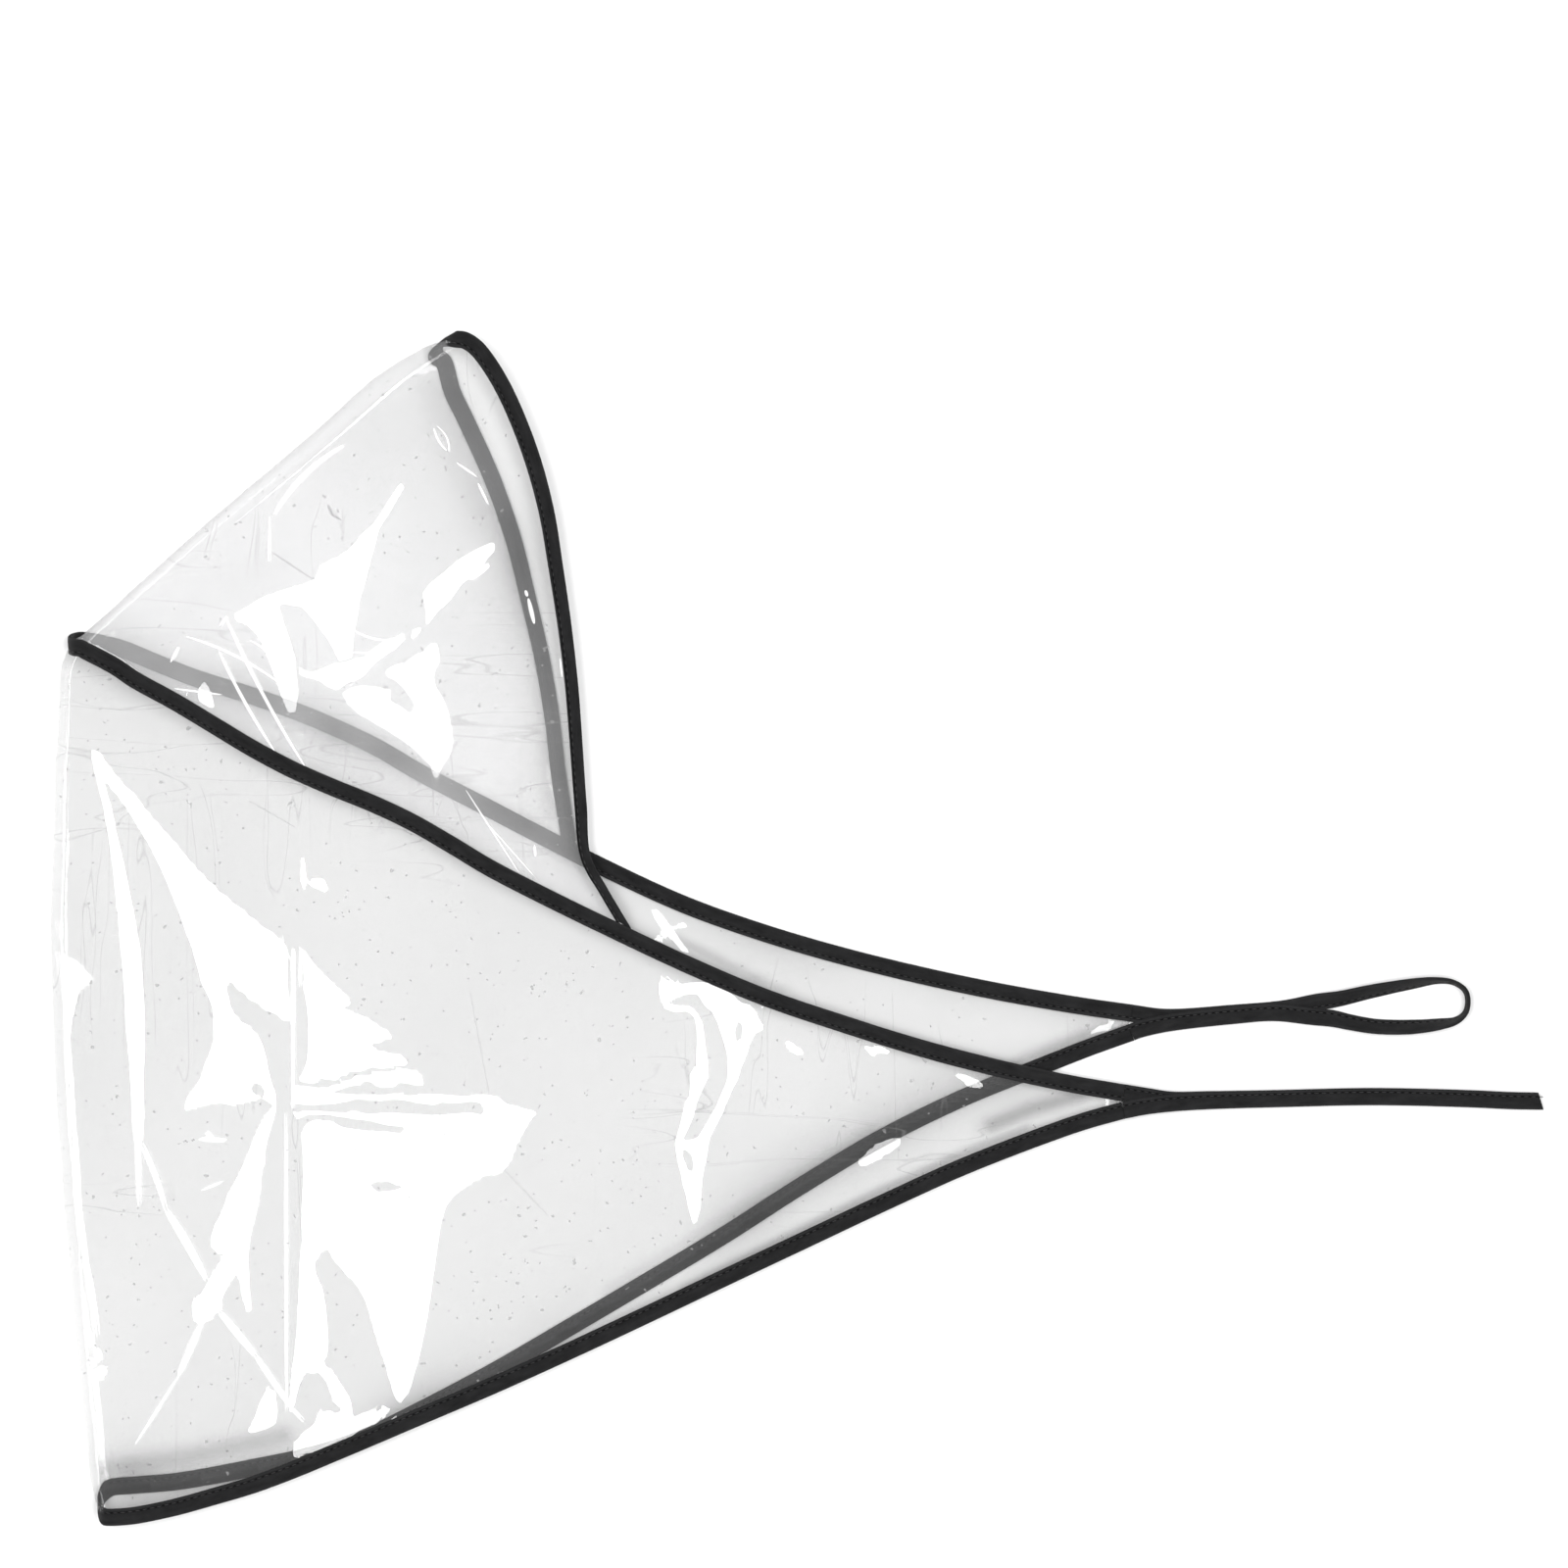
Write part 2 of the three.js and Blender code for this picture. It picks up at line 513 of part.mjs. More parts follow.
// The corners of a tie's root, in line with the outer edges of the two tapes that end beside it
function rootCorners(place, plane) {
  const corner = (frame) => {
    const outer = trimmedAtTip(inFrame(frame, -HALF_TAPE, 0), frame);
    return new THREE.Vector2(plane + PIECE_GAP, outer.y);
  };
  return { top: corner(frontFrame(place)), bottom: corner(napeFrame(place)) };
}

const tipOf = (place) => onFront(place).lerp(onNape(place), 0.5);

// A root starts as thick as the bindings and thins to the tie
function rootThickness(x, plane, length) {
  const share = THREE.MathUtils.smoothstep(x, plane, plane + length * ROOT_FADE);
  return THREE.MathUtils.lerp(TAPE_THICKNESS, TIE_THICKNESS, share);
}

function plainTie() {
  const tip = tipOf(0);
  const root = rootCorners(CROWN_START, UPPER_TIP_X);
  const edge = (side) =>
    PLAIN_TIE_ROWS.map((row) => {
      const slant = row.along === 1 ? -side * 0.5 * CUT_SLANT * TAPE_WIDTH : 0;
      return new THREE.Vector2(
        tip.x + row.along * PLAIN_TIE_LENGTH + slant,
        tip.y + (row.side + side * 0.5 * row.width) * TAPE_WIDTH,
      );
    });
  const top = new THREE.SplineCurve([root.top, ...edge(1)]).getPoints(TIE_STEPS);
  const bottom = new THREE.SplineCurve([root.bottom, ...edge(-1)]).getPoints(TIE_STEPS);
  const start = trimmedAtTip(frontFrame(CROWN_START).centre, frontFrame(CROWN_START)).z - TAPE_THICKNESS / 2;
  const floorAt = (x) =>
    start * (1 - THREE.MathUtils.smoothstep(x, UPPER_TIP_X, tip.x + TIE_LANDING * PLAIN_TIE_LENGTH));
  return flatTie(
    new THREE.Shape([...bottom, ...top.reverse()]),
    floorAt,
    (x) => rootThickness(x, UPPER_TIP_X, PLAIN_TIE_LENGTH),
  );
}

function loopTie() {
  const tip = tipOf(LAST_PLACE);
  const root = rootCorners(CROWN_END, LOWER_TIP_X);
  const centres = LOOP_ROWS.map(
    (row) =>
      new THREE.Vector3(
        tip.x + row.along * LOOP_TIE_LENGTH,
        tip.y + row.side * LOOP_SPREAD,
        row.width * TAPE_WIDTH,
      ),
  );
  // The third coordinate carries the tape's width through the curve
  const path = new THREE.CatmullRomCurve3(centres, false, "centripetal");
  const outer = [];
  const inner = [];
  const lastRow = LOOP_ROWS.length - 1;
  const firstOpen = LOOP_ROWS.findIndex((row) => row.open);
  const lastOpen = LOOP_ROWS.findLastIndex((row) => row.open);
  for (let step = 0; step <= LOOP_STEPS; step += 1) {
    const share = step / LOOP_STEPS;
    const centre = path.getPoint(share);
    const along = path.getTangent(share);
    const outward = new THREE.Vector2(-along.y, along.x).normalize();
    const flat = new THREE.Vector2(centre.x, centre.y);
    outer.push(flat.clone().addScaledVector(outward, centre.z / 2));
    const row = share * lastRow;
    if (row >= firstOpen && row <= lastOpen) inner.push(flat.clone().addScaledVector(outward, -centre.z / 2));
  }
  const outline = new THREE.Shape([...outer.reverse(), root.top, root.bottom]);
  outline.holes.push(new THREE.Path(inner));
  const standFrom = tip.x + LOOP_STAND.from * LOOP_TIE_LENGTH;
  const standTo = tip.x + LOOP_STAND.to * LOOP_TIE_LENGTH;
  const heightAt = (x) =>
    THREE.MathUtils.lerp(
      rootThickness(x, LOWER_TIP_X, LOOP_TIE_LENGTH),
      LOOP_STAND.height * TAPE_WIDTH,
      THREE.MathUtils.smoothstep(x, standFrom, standTo),
    );
  return flatTie(outline, () => 0, heightAt);
}

const clearFilm = () =>
  new THREE.MeshStandardMaterial({
    color: 0xf1f3f4,
    roughness: 0.06,
    metalness: 0,
    transparent: true,
    opacity: 0.3,
  });
const blackTape = () => new THREE.MeshStandardMaterial({ color: 0x1c1c1e, roughness: 0.85, metalness: 0 });

function namedMesh(name, geometry, material) {
  const mesh = new THREE.Mesh(geometry, material);
  mesh.name = name;
  return mesh;
}

const group = new THREE.Group();
group.add(
  namedMesh("crown_panel", crownPanel(), clearFilm()),
  namedMesh("visor_panel", visorPanel(), clearFilm()),
  namedMesh("seam_binding", seamBinding(), blackTape()),
  namedMesh("nape_binding", napeBinding(), blackTape()),
  namedMesh("visor_binding", visorBinding(), blackTape()),
  namedMesh("plain_tie", plainTie(), blackTape()),
  namedMesh("loop_tie", loopTie(), blackTape()),
);

// The origin is at the middle of the bonnet's outline, on the surface that it lies on
const box = new THREE.Box3().setFromObject(group, true);
const middle = box.getCenter(new THREE.Vector3());
group.position.set(-middle.x, -middle.y, -box.min.z);
group.updateMatrixWorld(true);

export default group;
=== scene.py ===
"""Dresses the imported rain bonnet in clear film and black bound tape.

The bonnet lies flat, folded in half over the middle of its crown. Every table is in millimetres in the
pattern's own frame: the first number runs from the fold towards the ties, the second runs down from the front
corner towards the nape. to_row() turns them into the row frame, in metres.
"""

import logging
import math
from abc import ABC, abstractmethod
from collections.abc import Callable
from dataclasses import dataclass, field
from enum import Enum

import bmesh
import bpy
import numpy as np
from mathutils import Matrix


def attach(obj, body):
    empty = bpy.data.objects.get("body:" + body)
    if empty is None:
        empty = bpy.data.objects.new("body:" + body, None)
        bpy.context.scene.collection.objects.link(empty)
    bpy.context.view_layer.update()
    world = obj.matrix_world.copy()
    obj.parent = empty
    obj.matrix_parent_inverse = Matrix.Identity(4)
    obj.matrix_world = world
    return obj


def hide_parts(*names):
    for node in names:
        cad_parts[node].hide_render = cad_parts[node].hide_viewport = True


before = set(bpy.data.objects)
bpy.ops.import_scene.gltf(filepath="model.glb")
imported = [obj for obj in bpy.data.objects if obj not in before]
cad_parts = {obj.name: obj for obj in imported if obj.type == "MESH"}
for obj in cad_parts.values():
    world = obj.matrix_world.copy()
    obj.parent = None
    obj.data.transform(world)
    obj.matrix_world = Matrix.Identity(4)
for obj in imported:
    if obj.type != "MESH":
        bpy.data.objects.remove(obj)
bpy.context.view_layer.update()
LOG = logging.getLogger("rain_bonnet")
MM = 0.001
Socket = bpy.types.NodeSocket
Value = Socket | float
Points = tuple[tuple[float, ...], ...]

# Named sizes of the laid bonnet, in millimetres
TAPE_WIDTH = 6.1
TAPE_HALF = TAPE_WIDTH / 2
TAPE_DEPTH = 1.7  # a folded tape with film in it
SLOT_GAP = 0.34  # room for the film between a tape's two walls
FILM = 0.22
EDGE_SLOT = -2.0  # how far the slot of an edge tape reaches, from its middle line
SEAM_SLOT = 0.5
SLOT_PLAY = 0.3
GROUND = 0.95  # middle of a tape that lies on the surface
LOWEST_FILM = 0.25
LOWER_LEVEL = 0.3  # the lower layer, between its tapes
UPPER_MARGIN = 4.5  # from a tape's middle line to the creased part of the upper layer
LOWER_MARGIN = 3.6
FOLD_GRIP = 7.5  # how far round the fold an edge's frames lie along the fold
# How far the painted shade of a lower tape spreads into the film beside it
PAINTED_SHADE_REACH = 6.5  # how far a lower tape darkens the film beside it
ORIGIN = (258.158, 100.154)  # the row frame's origin, in the pattern's frame

# Middle lines of the tapes, read along the tape. The upper layer is the one that lies on top.
UPPER_FRONT = (
    (17.8, 8.4), (24.8, 13.1), (38.6, 20.7), (52.4, 29.0), (66.2, 37.3), (80.0, 44.6), (93.8, 50.7),
    (107.6, 56.3), (121.4, 62.8), (135.2, 70.7), (149.0, 79.0), (169.7, 89.7), (190.4, 99.8), (218.0, 112.8),
    (245.6, 124.5), (273.2, 133.9), (300.8, 142.5), (328.4, 149.7), (352.0, 154.8), (372.0, 158.3),
)
UPPER_NAPE = (
    (24.8, 306.4), (38.6, 303.6), (52.4, 299.8), (66.2, 295.7), (80.0, 290.6), (93.8, 284.9), (107.6, 279.1),
    (121.4, 273.2), (149.0, 261.5), (176.6, 249.1), (204.2, 236.2), (231.8, 223.1), (259.4, 210.1),
    (287.0, 197.1), (314.6, 184.6), (342.2, 173.8), (358.0, 168.3), (372.0, 164.4),
)
LOWER_FRONT = (
    (17.8, 1.5), (31.7, 7.0), (45.5, 12.4), (66.2, 18.9), (85.2, 25.8), (107.6, 35.9), (124.9, 45.9),
    (145.6, 56.6), (165.3, 66.9), (190.4, 79.7), (218.0, 92.3), (245.6, 102.1), (273.2, 110.2), (300.8, 117.0),
    (328.4, 122.8), (356.0, 127.6), (374.8, 130.3),
)
LOWER_NAPE = (
    (24.8, 296.4), (38.6, 295.2), (52.4, 292.9), (66.2, 290.2), (80.0, 287.4), (93.8, 283.8), (107.6, 278.4),
    (121.4, 271.7), (149.0, 257.2), (176.6, 241.2), (204.2, 224.9), (231.8, 208.3), (259.4, 190.6),
    (287.0, 174.2), (314.6, 160.6), (342.2, 149.4), (360.0, 142.4), (374.8, 137.1),
)
UPPER_VISOR = (
    (143.9, -104.0), (147.9, -99.4), (154.6, -88.3), (163.2, -67.6), (169.0, -46.9), (172.5, -26.2),
    (175.6, -5.5), (178.0, 15.2), (179.6, 35.9), (181.1, 56.6), (183.0, 75.6), (189.4, 87.6), (194.6, 96.4),
)
LOWER_VISOR = (
    (135.9, -88.3), (140.8, -78.0), (150.1, -57.3), (157.3, -36.6), (162.5, -15.9), (167.3, 4.8),
    (170.8, 25.5), (173.2, 46.2), (175.9, 64.0),
)
# The widths of the visor's tape, which lies turned on its edge near the kink: down, share of TAPE_WIDTH
VISOR_TAPE_WIDTHS = ((-110, 1.0), (-60, 0.95), (0, 0.8), (60, 0.72), (75, 0.6), (88, 0.55), (100, 0.55))

# The folds' outlines as seen from above: along, down
CROWN_FOLD = (
    (1.6, 1.0), (-1.5, 8.0), (-2.1, 15.2), (-2.4, 29.0), (-3.5, 42.8), (-3.8, 56.6), (-4.1, 70.4), (-4.8, 84.2),
    (-5.2, 98.0), (-4.9, 111.8), (-4.4, 125.6), (-3.9, 139.4), (-3.4, 153.2), (-2.7, 167.0), (-1.4, 180.8),
    (-0.6, 194.6), (0.7, 208.4), (2.1, 222.2), (3.1, 236.0), (4.5, 249.8), (5.7, 263.6), (7.4, 277.4), (8.4, 291.2),
    (10.6, 300.0),
)
VISOR_FOLD = (
    (5.2, -1.6), (8.7, -4.9), (16.2, -11.5), (22.8, -17.9), (29.9, -24.2), (36.9, -30.6), (44.0, -36.9),
    (51.1, -43.2), (58.3, -49.3), (65.4, -55.4), (72.9, -61.5), (80.0, -67.7), (87.3, -73.8), (94.3, -80.1),
    (101.2, -86.6), (108.2, -92.7), (116.4, -98.3), (124.8, -102.8), (129.6, -104.2),
)

# The end of the crown's creased part, beside the fold
CROWN_CREASED_END = ((3.5, 26.0), (-4.0, 98.0), (-2.7, 139.0), (1.5, 195.0), (6.5, 250.0), (12.1, 300.0))

# How high the middle of the upper layer's tapes lies: from the fold, height
UPPER_LEVELS = (
    (0, 12.9), (17.8, 12.65), (31.7, 11.95), (52.6, 11.25), (80, 10.3), (114.6, 9.5), (149, 8.9), (178, 8.5),
    (197, 8.3), (239, 7.6), (287, 6.6), (335, 5.3), (366, 4.25), (387, 3.3), (402, 2.1), (418, 1.25), (520, 1.2),
)
ON_SURFACE = ((0, GROUND),)
VISOR_LEVELS = ((-110, 12.75), (-80, 12.0), (-35, 11.2), (37, 9.6), (75, 8.9), (100, 8.35))


class Lean(Enum):
    """The lamp that a creased facet of film mirrors."""

    LEFT = -1
    LEVEL = 0
    RIGHT = 1


@dataclass(frozen=True)
class Facet:
    """One creased facet of a film layer.

    Args:
        name: what the facet is called
        lean: which lamp it mirrors, if any
        outline: its corners, along and down in turn, in tenths of a millimetre
        dull: how far its film is scuffed, from 0 to 1, which softens what it mirrors
    """

    name: str
    lean: Lean
    outline: tuple[int, ...]
    dull: float = 0.0


CROWN_FACETS = (
    Facet("kite", Lean.LEFT, (97, 379, 114, 379, 152, 428, 204, 490, 255, 542, 290, 590, 324, 631, 376, 687, 417, 735,
        462, 790, 504, 835, 549, 876, 600, 918, 652, 959, 704, 1000, 742, 1025, 773, 1052, 787, 1076, 783, 1187,
        793, 1332, 731, 1290, 669, 1256, 621, 1218, 586, 1187, 566, 1197, 573, 1239, 586, 1290, 611, 1325, 649, 1352,
        680, 1380, 700, 1421, 711, 1463, 721, 1515, 731, 1559, 745, 1621, 714, 1604, 669, 1597, 628, 1608, 593, 1615,
        542, 1608, 483, 1618, 424, 1639, 431, 1597, 462, 1563, 483, 1525, 493, 1490, 514, 1446, 528, 1394, 528, 1290,
        511, 1242, 486, 1201, 469, 1138, 445, 1056, 421, 997, 404, 945, 379, 883, 355, 825, 328, 766, 297, 707,
        266, 659, 231, 600, 186, 538, 141, 480, 107, 421)),
    Facet("kite_smudge", Lean.LEVEL, (649, 1552, 690, 1542, 707, 1573, 704, 1601, 669, 1587)),
    Facet("band", Lean.LEFT, (93, 386, 110, 386, 121, 445, 141, 497, 166, 573, 186, 669, 210, 773, 231, 876, 252, 980,
        266, 1066, 276, 1170, 283, 1290, 283, 1394, 279, 1532, 279, 1670, 273, 1739, 262, 1780, 252, 1756, 245, 1670,
        238, 1566, 231, 1463, 221, 1342, 214, 1221, 204, 1118, 193, 997, 183, 894, 172, 790, 155, 669, 138, 573,
        114, 480)),
    Facet("flank", Lean.LEFT, (745, 1615, 738, 1663, 724, 1701, 711, 1739, 700, 1791, 697, 1842, 687, 1877, 683, 1929,
        673, 1980, 659, 2049, 649, 2091, 645, 2153, 649, 2222, 649, 2274, 659, 2332, 649, 2353, 631, 2308, 624, 2256,
        618, 2222, 604, 2205, 586, 2229, 566, 2263, 552, 2298, 549, 2343, 528, 2353, 504, 2377, 473, 2387, 452, 2360,
        455, 2308, 483, 2291, 500, 2263, 524, 2215, 545, 2187, 562, 2160, 593, 2149, 586, 2139, 542, 2129, 517, 2118,
        517, 2091, 531, 2049, 549, 2015, 566, 1977, 576, 1942, 597, 1908, 618, 1866, 638, 1822, 659, 1770, 680, 1722,
        704, 1673)),
    Facet("slip", Lean.LEFT, (638, 2777, 669, 2722, 690, 2663, 714, 2615, 735, 2636, 749, 2698, 742, 2736, 697, 2763)),
    Facet("hair_left", Lean.LEFT, (799, 1076, 814, 1076, 812, 1342, 800, 1342)),
    Facet("upper_sail", Lean.RIGHT, (828, 1066, 852, 1097, 887, 1145, 925, 1183, 963, 1221, 1000, 1249, 1000, 1270,
        959, 1283, 994, 1294, 1052, 1314, 1097, 1345, 1142, 1370, 1152, 1387, 1094, 1401, 1066, 1414, 1094, 1432,
        1149, 1442, 1190, 1456, 1207, 1473, 1128, 1487, 1059, 1494, 994, 1508, 956, 1525, 887, 1535, 814, 1542,
        838, 1511, 856, 1470, 859, 1394, 859, 1308, 845, 1221, 842, 1111)),
    Facet("great_sail", Lean.RIGHT, (811, 1556, 869, 1556, 925, 1566, 973, 1546, 1025, 1528, 1094, 1515, 1163, 1504,
        1232, 1504, 1252, 1521, 1259, 1549, 1180, 1542, 1145, 1556, 1118, 1563, 1090, 1546, 1056, 1542, 1007, 1556,
        956, 1566, 928, 1577, 973, 1587, 1059, 1590, 1145, 1587, 1249, 1590, 1335, 1594, 1421, 1594, 1480, 1587,
        1525, 1601, 1552, 1625, 1611, 1639, 1670, 1653, 1646, 1666, 1628, 1690, 1604, 1732, 1584, 1773, 1570, 1815,
        1546, 1853, 1508, 1870, 1466, 1873, 1428, 1891, 1387, 1918, 1356, 1949, 1335, 1980, 1321, 2025, 1311, 2091,
        1301, 2153, 1294, 2211, 1283, 2291, 1273, 2360, 1256, 2446, 1242, 2515, 1221, 2584, 1204, 2636, 1180, 2670,
        1159, 2656, 1152, 2615, 1138, 2567, 1121, 2515, 1104, 2463, 1090, 2412, 1076, 2360, 1059, 2308, 1035, 2260,
        990, 2215, 956, 2173, 931, 2139, 938, 2118, 904, 2129, 880, 2170, 880, 2211, 894, 2249, 907, 2270, 914, 2325,
        921, 2394, 925, 2463, 914, 2515, 883, 2539, 849, 2553, 825, 2598, 811, 2650, 800, 2698, 787, 2698, 793, 2619,
        800, 2550, 811, 2481, 818, 2394, 825, 2291, 828, 2187, 838, 2067, 835, 1998, 842, 1877, 838, 1756, 835, 1704,
        825, 1670, 807, 1656, 797, 1615)),
    Facet("ripple_high", Lean.LEVEL, (804, 1615, 869, 1625, 973, 1618, 1025, 1604, 1111, 1611, 1163, 1604, 1232, 1615,
        1301, 1625, 1318, 1615, 1387, 1618, 1449, 1611, 1470, 1635, 1470, 1659, 1421, 1649, 1335, 1656, 1283, 1659,
        1214, 1653, 1145, 1649, 1059, 1653, 1011, 1639, 990, 1649, 938, 1646, 887, 1639, 842, 1642, 811, 1649)),
    Facet("ripple_low", Lean.LEVEL, (821, 1673, 852, 1659, 921, 1656, 973, 1666, 1025, 1673, 1076, 1680, 1128, 1694,
        1194, 1701, 1180, 1722, 1128, 1715, 1059, 1711, 980, 1701, 938, 1677, 887, 1670, 852, 1684, 835, 1711,
        821, 1739)),
    Facet("lens", Lean.LEVEL, (1063, 1908, 1094, 1897, 1145, 1896, 1190, 1908, 1145, 1922, 1097, 1923)),
    Facet("loop", Lean.RIGHT, (876, 2536, 918, 2543, 952, 2577, 973, 2612, 1000, 2650, 1014, 2705, 1000, 2732,
        973, 2725, 969, 2677, 949, 2667, 931, 2622, 918, 2581, 894, 2560, 856, 2560)),
    Facet("splash", Lean.RIGHT, (894, 2694, 921, 2701, 959, 2705, 1000, 2725, 1042, 2712, 1094, 2694, 1138, 2688,
        1145, 2705, 1097, 2743, 1052, 2760, 1004, 2788, 959, 2812, 890, 2839, 818, 2853, 797, 2846, 804, 2808,
        852, 2763, 883, 2739)),
    Facet("edge_veil", Lean.LEFT, (-28, 1083, -7, 1094, 41, 1121, 76, 1152, 107, 1183, 76, 1194, 52, 1221, 38, 1249,
        3, 1249, -14, 1187, -24, 1135), dull=0.8),
    Facet("edge_flag", Lean.LEFT, (3, 1239, 45, 1239, 38, 1290, 28, 1325, 24, 1359, 24, 1411, 21, 1463, 28, 1539,
        14, 1539, 7, 1480, 3, 1411, 3, 1342)),
    Facet("edge_blob", Lean.LEFT, (97, 2560, 128, 2536, 152, 2550, 138, 2577, 110, 2584)),
    Facet("edge_speck", Lean.LEFT, (-31, 980, -14, 990, 3, 1011, -7, 1025, -24, 1014)),
    Facet("fork", Lean.RIGHT, (2091, 1180, 2111, 1190, 2180, 1204, 2236, 1194, 2280, 1201, 2325, 1225, 2353, 1245,
        2370, 1263, 2408, 1273, 2425, 1290, 2439, 1325, 2456, 1349, 2446, 1363, 2422, 1370, 2412, 1390, 2401, 1421,
        2384, 1466, 2367, 1501, 2360, 1535, 2339, 1570, 2325, 1604, 2305, 1656, 2280, 1701, 2260, 1742, 2253, 1794,
        2242, 1846, 2236, 1880, 2232, 1932, 2229, 1984, 2215, 2035, 2205, 2035, 2194, 1987, 2184, 1939, 2170, 1894,
        2160, 1842, 2149, 1801, 2142, 1763, 2153, 1722, 2163, 1687, 2173, 1646, 2180, 1611, 2198, 1590, 2198, 1549,
        2194, 1525, 2205, 1504, 2222, 1487, 2222, 1446, 2222, 1394, 2222, 1342, 2215, 1318, 2198, 1297, 2191, 1290,
        2146, 1294, 2111, 1287, 2094, 1256, 2084, 1228)),
    Facet("fork_gap", Lean.LEVEL, (2115, 1266, 2146, 1249, 2180, 1235, 2222, 1235, 2242, 1270, 2274, 1301, 2294, 1342,
        2311, 1394, 2325, 1446, 2329, 1497, 2322, 1549, 2305, 1584, 2287, 1628, 2263, 1670, 2239, 1711, 2222, 1739,
        2180, 1749, 2173, 1742, 2191, 1704, 2208, 1663, 2222, 1608, 2242, 1566, 2260, 1525, 2260, 1480, 2253, 1428,
        2246, 1377, 2239, 1332, 2222, 1301, 2198, 1276, 2146, 1273)),
    Facet("fork_eye", Lean.LEVEL, (2170, 1773, 2198, 1797, 2208, 1825, 2201, 1866, 2187, 1849, 2173, 1815)),
    Facet("fork_dot", Lean.LEVEL, (2360, 1335, 2374, 1332, 2380, 1359, 2377, 1387, 2360, 1404, 2353, 1377)),
    Facet("seam_tick", Lean.RIGHT, (2525, 1397, 2546, 1404, 2584, 1435, 2577, 1449, 2543, 1428)),
    Facet("seam_fleck", Lean.RIGHT, (2815, 1421, 2853, 1418, 2884, 1428, 2863, 1446, 2857, 1466, 2839, 1459,
        2832, 1439)),
    Facet("band_glint", Lean.RIGHT, (2794, 1818, 2853, 1766, 2922, 1739, 2932, 1763, 2870, 1801, 2808, 1842)),
    Facet("tip_glint", Lean.RIGHT, (3133, 1511, 3215, 1546, 3215, 1563, 3174, 1559)),
    Facet("small_bar", Lean.RIGHT, (859, 831, 918, 835, 921, 869, 869, 859)),
    Facet("small_tick", Lean.RIGHT, (828, 766, 842, 766, 849, 856, 835, 856)),
)
VISOR_FACETS = (
    Facet("star", Lean.LEFT, (1183, -559, 1197, -549, 1163, -493, 1132, -442, 1104, -397, 1094, -355, 1073, -279,
        1056, -210, 1038, -155, 1028, -90, 1018, -38, 1011, 31, 1007, 90, 1014, 145, 987, 159, 973, 103, 963, 59,
        945, 17, 925, -17, 900, -52, 873, -90, 845, -121, 818, -135, 766, -141, 745, -131, 759, -90, 773, -48, 790, -3,
        807, 55, 814, 117, 814, 172, 807, 238, 790, 238, 766, 179, 745, 117, 724, 59, 700, 0, 673, -45, 642, -72,
        607, -79, 593, -97, 649, -124, 669, -141, 704, -159, 749, -172, 787, -183, 842, -200, 869, -210, 890, -228,
        900, -266, 956, -293, 997, -317, 1032, -355, 1059, -390, 1083, -407, 1111, -448, 1142, -500)),
    Facet("ribbon", Lean.LEFT, (1511, -352, 1483, -342, 1452, -328, 1418, -310, 1383, -290, 1349, -259, 1314, -231,
        1280, -204, 1259, -176, 1263, -141, 1270, -107, 1270, -62, 1287, -79, 1308, -110, 1335, -131, 1359, -155,
        1377, -183, 1408, -217, 1442, -248, 1477, -286, 1511, -321), dull=0.3),
    Facet("ribbon_edge", Lean.LEFT, (1494, -283, 1456, -259, 1418, -231, 1428, -217, 1470, -241, 1494, -266)),
    Facet("ribbon_end", Lean.LEFT, (1218, -10, 1225, -45, 1259, -52, 1239, -28)),
    Facet("wing", Lean.RIGHT, (818, 79, 838, 93, 862, 103, 904, 93, 945, 76, 1000, 59, 1056, 52, 1083, 21, 1121, 0,
        1163, -17, 1187, -31, 1197, -14, 1166, 17, 1125, 45, 1087, 79, 1056, 114, 1021, 135, 980, 155, 956, 169,
        931, 155, 887, 131, 849, 124, 828, 121), dull=0.3),
    Facet("pool", Lean.RIGHT, (973, 179, 1000, 159, 1042, 152, 1094, 159, 1145, 169, 1138, 204, 1180, 228, 1214, 252,
        1235, 221, 1218, 193, 1187, 152, 1163, 128, 1135, 121, 1125, 97, 1156, 83, 1197, 72, 1232, 48, 1256, 38,
        1283, 10, 1308, 0, 1314, 41, 1318, 69, 1301, 90, 1294, 124, 1304, 162, 1328, 197, 1345, 238, 1356, 290,
        1363, 348, 1356, 386, 1339, 414, 1321, 442, 1308, 480, 1297, 466, 1287, 431, 1259, 404, 1232, 376, 1197, 348,
        1163, 324, 1118, 300, 1076, 276, 1032, 252, 994, 217), dull=0.5),
    Facet("drop", Lean.RIGHT, (490, 131, 511, 162, 521, 190, 531, 235, 500, 221, 469, 207, 466, 169)),
)
LOWER_FACETS = (
    Facet("strip_stroke", Lean.RIGHT, (2056, 931, 2084, 945, 2146, 1021, 2194, 1090, 2167, 1090, 2111, 1021,
        2070, 973)),
    Facet("strip_cross", Lean.RIGHT, (2170, 980, 2194, 1000, 2125, 1014, 2070, 1069, 2056, 1056, 2111, 1007)),
    Facet("tip_glint", Lean.RIGHT, (3602, 1366, 3681, 1339, 3767, 1339, 3698, 1356, 3629, 1380)),
)


def to_row(points: np.ndarray) -> np.ndarray:
    """Turns pattern points (along, down, level) in millimetres into the row frame.

    Args:
        points: any array whose last axis is along, down, level

    Returns:
        the same points in metres, +Y up the picture and +Z off the surface
    """
    moved = np.array(points, float)
    moved[..., 0] -= ORIGIN[0]
    moved[..., 1] = ORIGIN[1] - moved[..., 1]
    return moved * MM


def unit(rows: np.ndarray) -> np.ndarray:
    """Rows of vectors, brought to length one."""
    return rows / np.linalg.norm(rows, axis=1, keepdims=True)


def run_lengths(points: np.ndarray) -> np.ndarray:
    """The length along a line of points, up to each point."""
    return np.concatenate([[0.0], np.cumsum(np.linalg.norm(np.diff(points, axis=0), axis=1))])


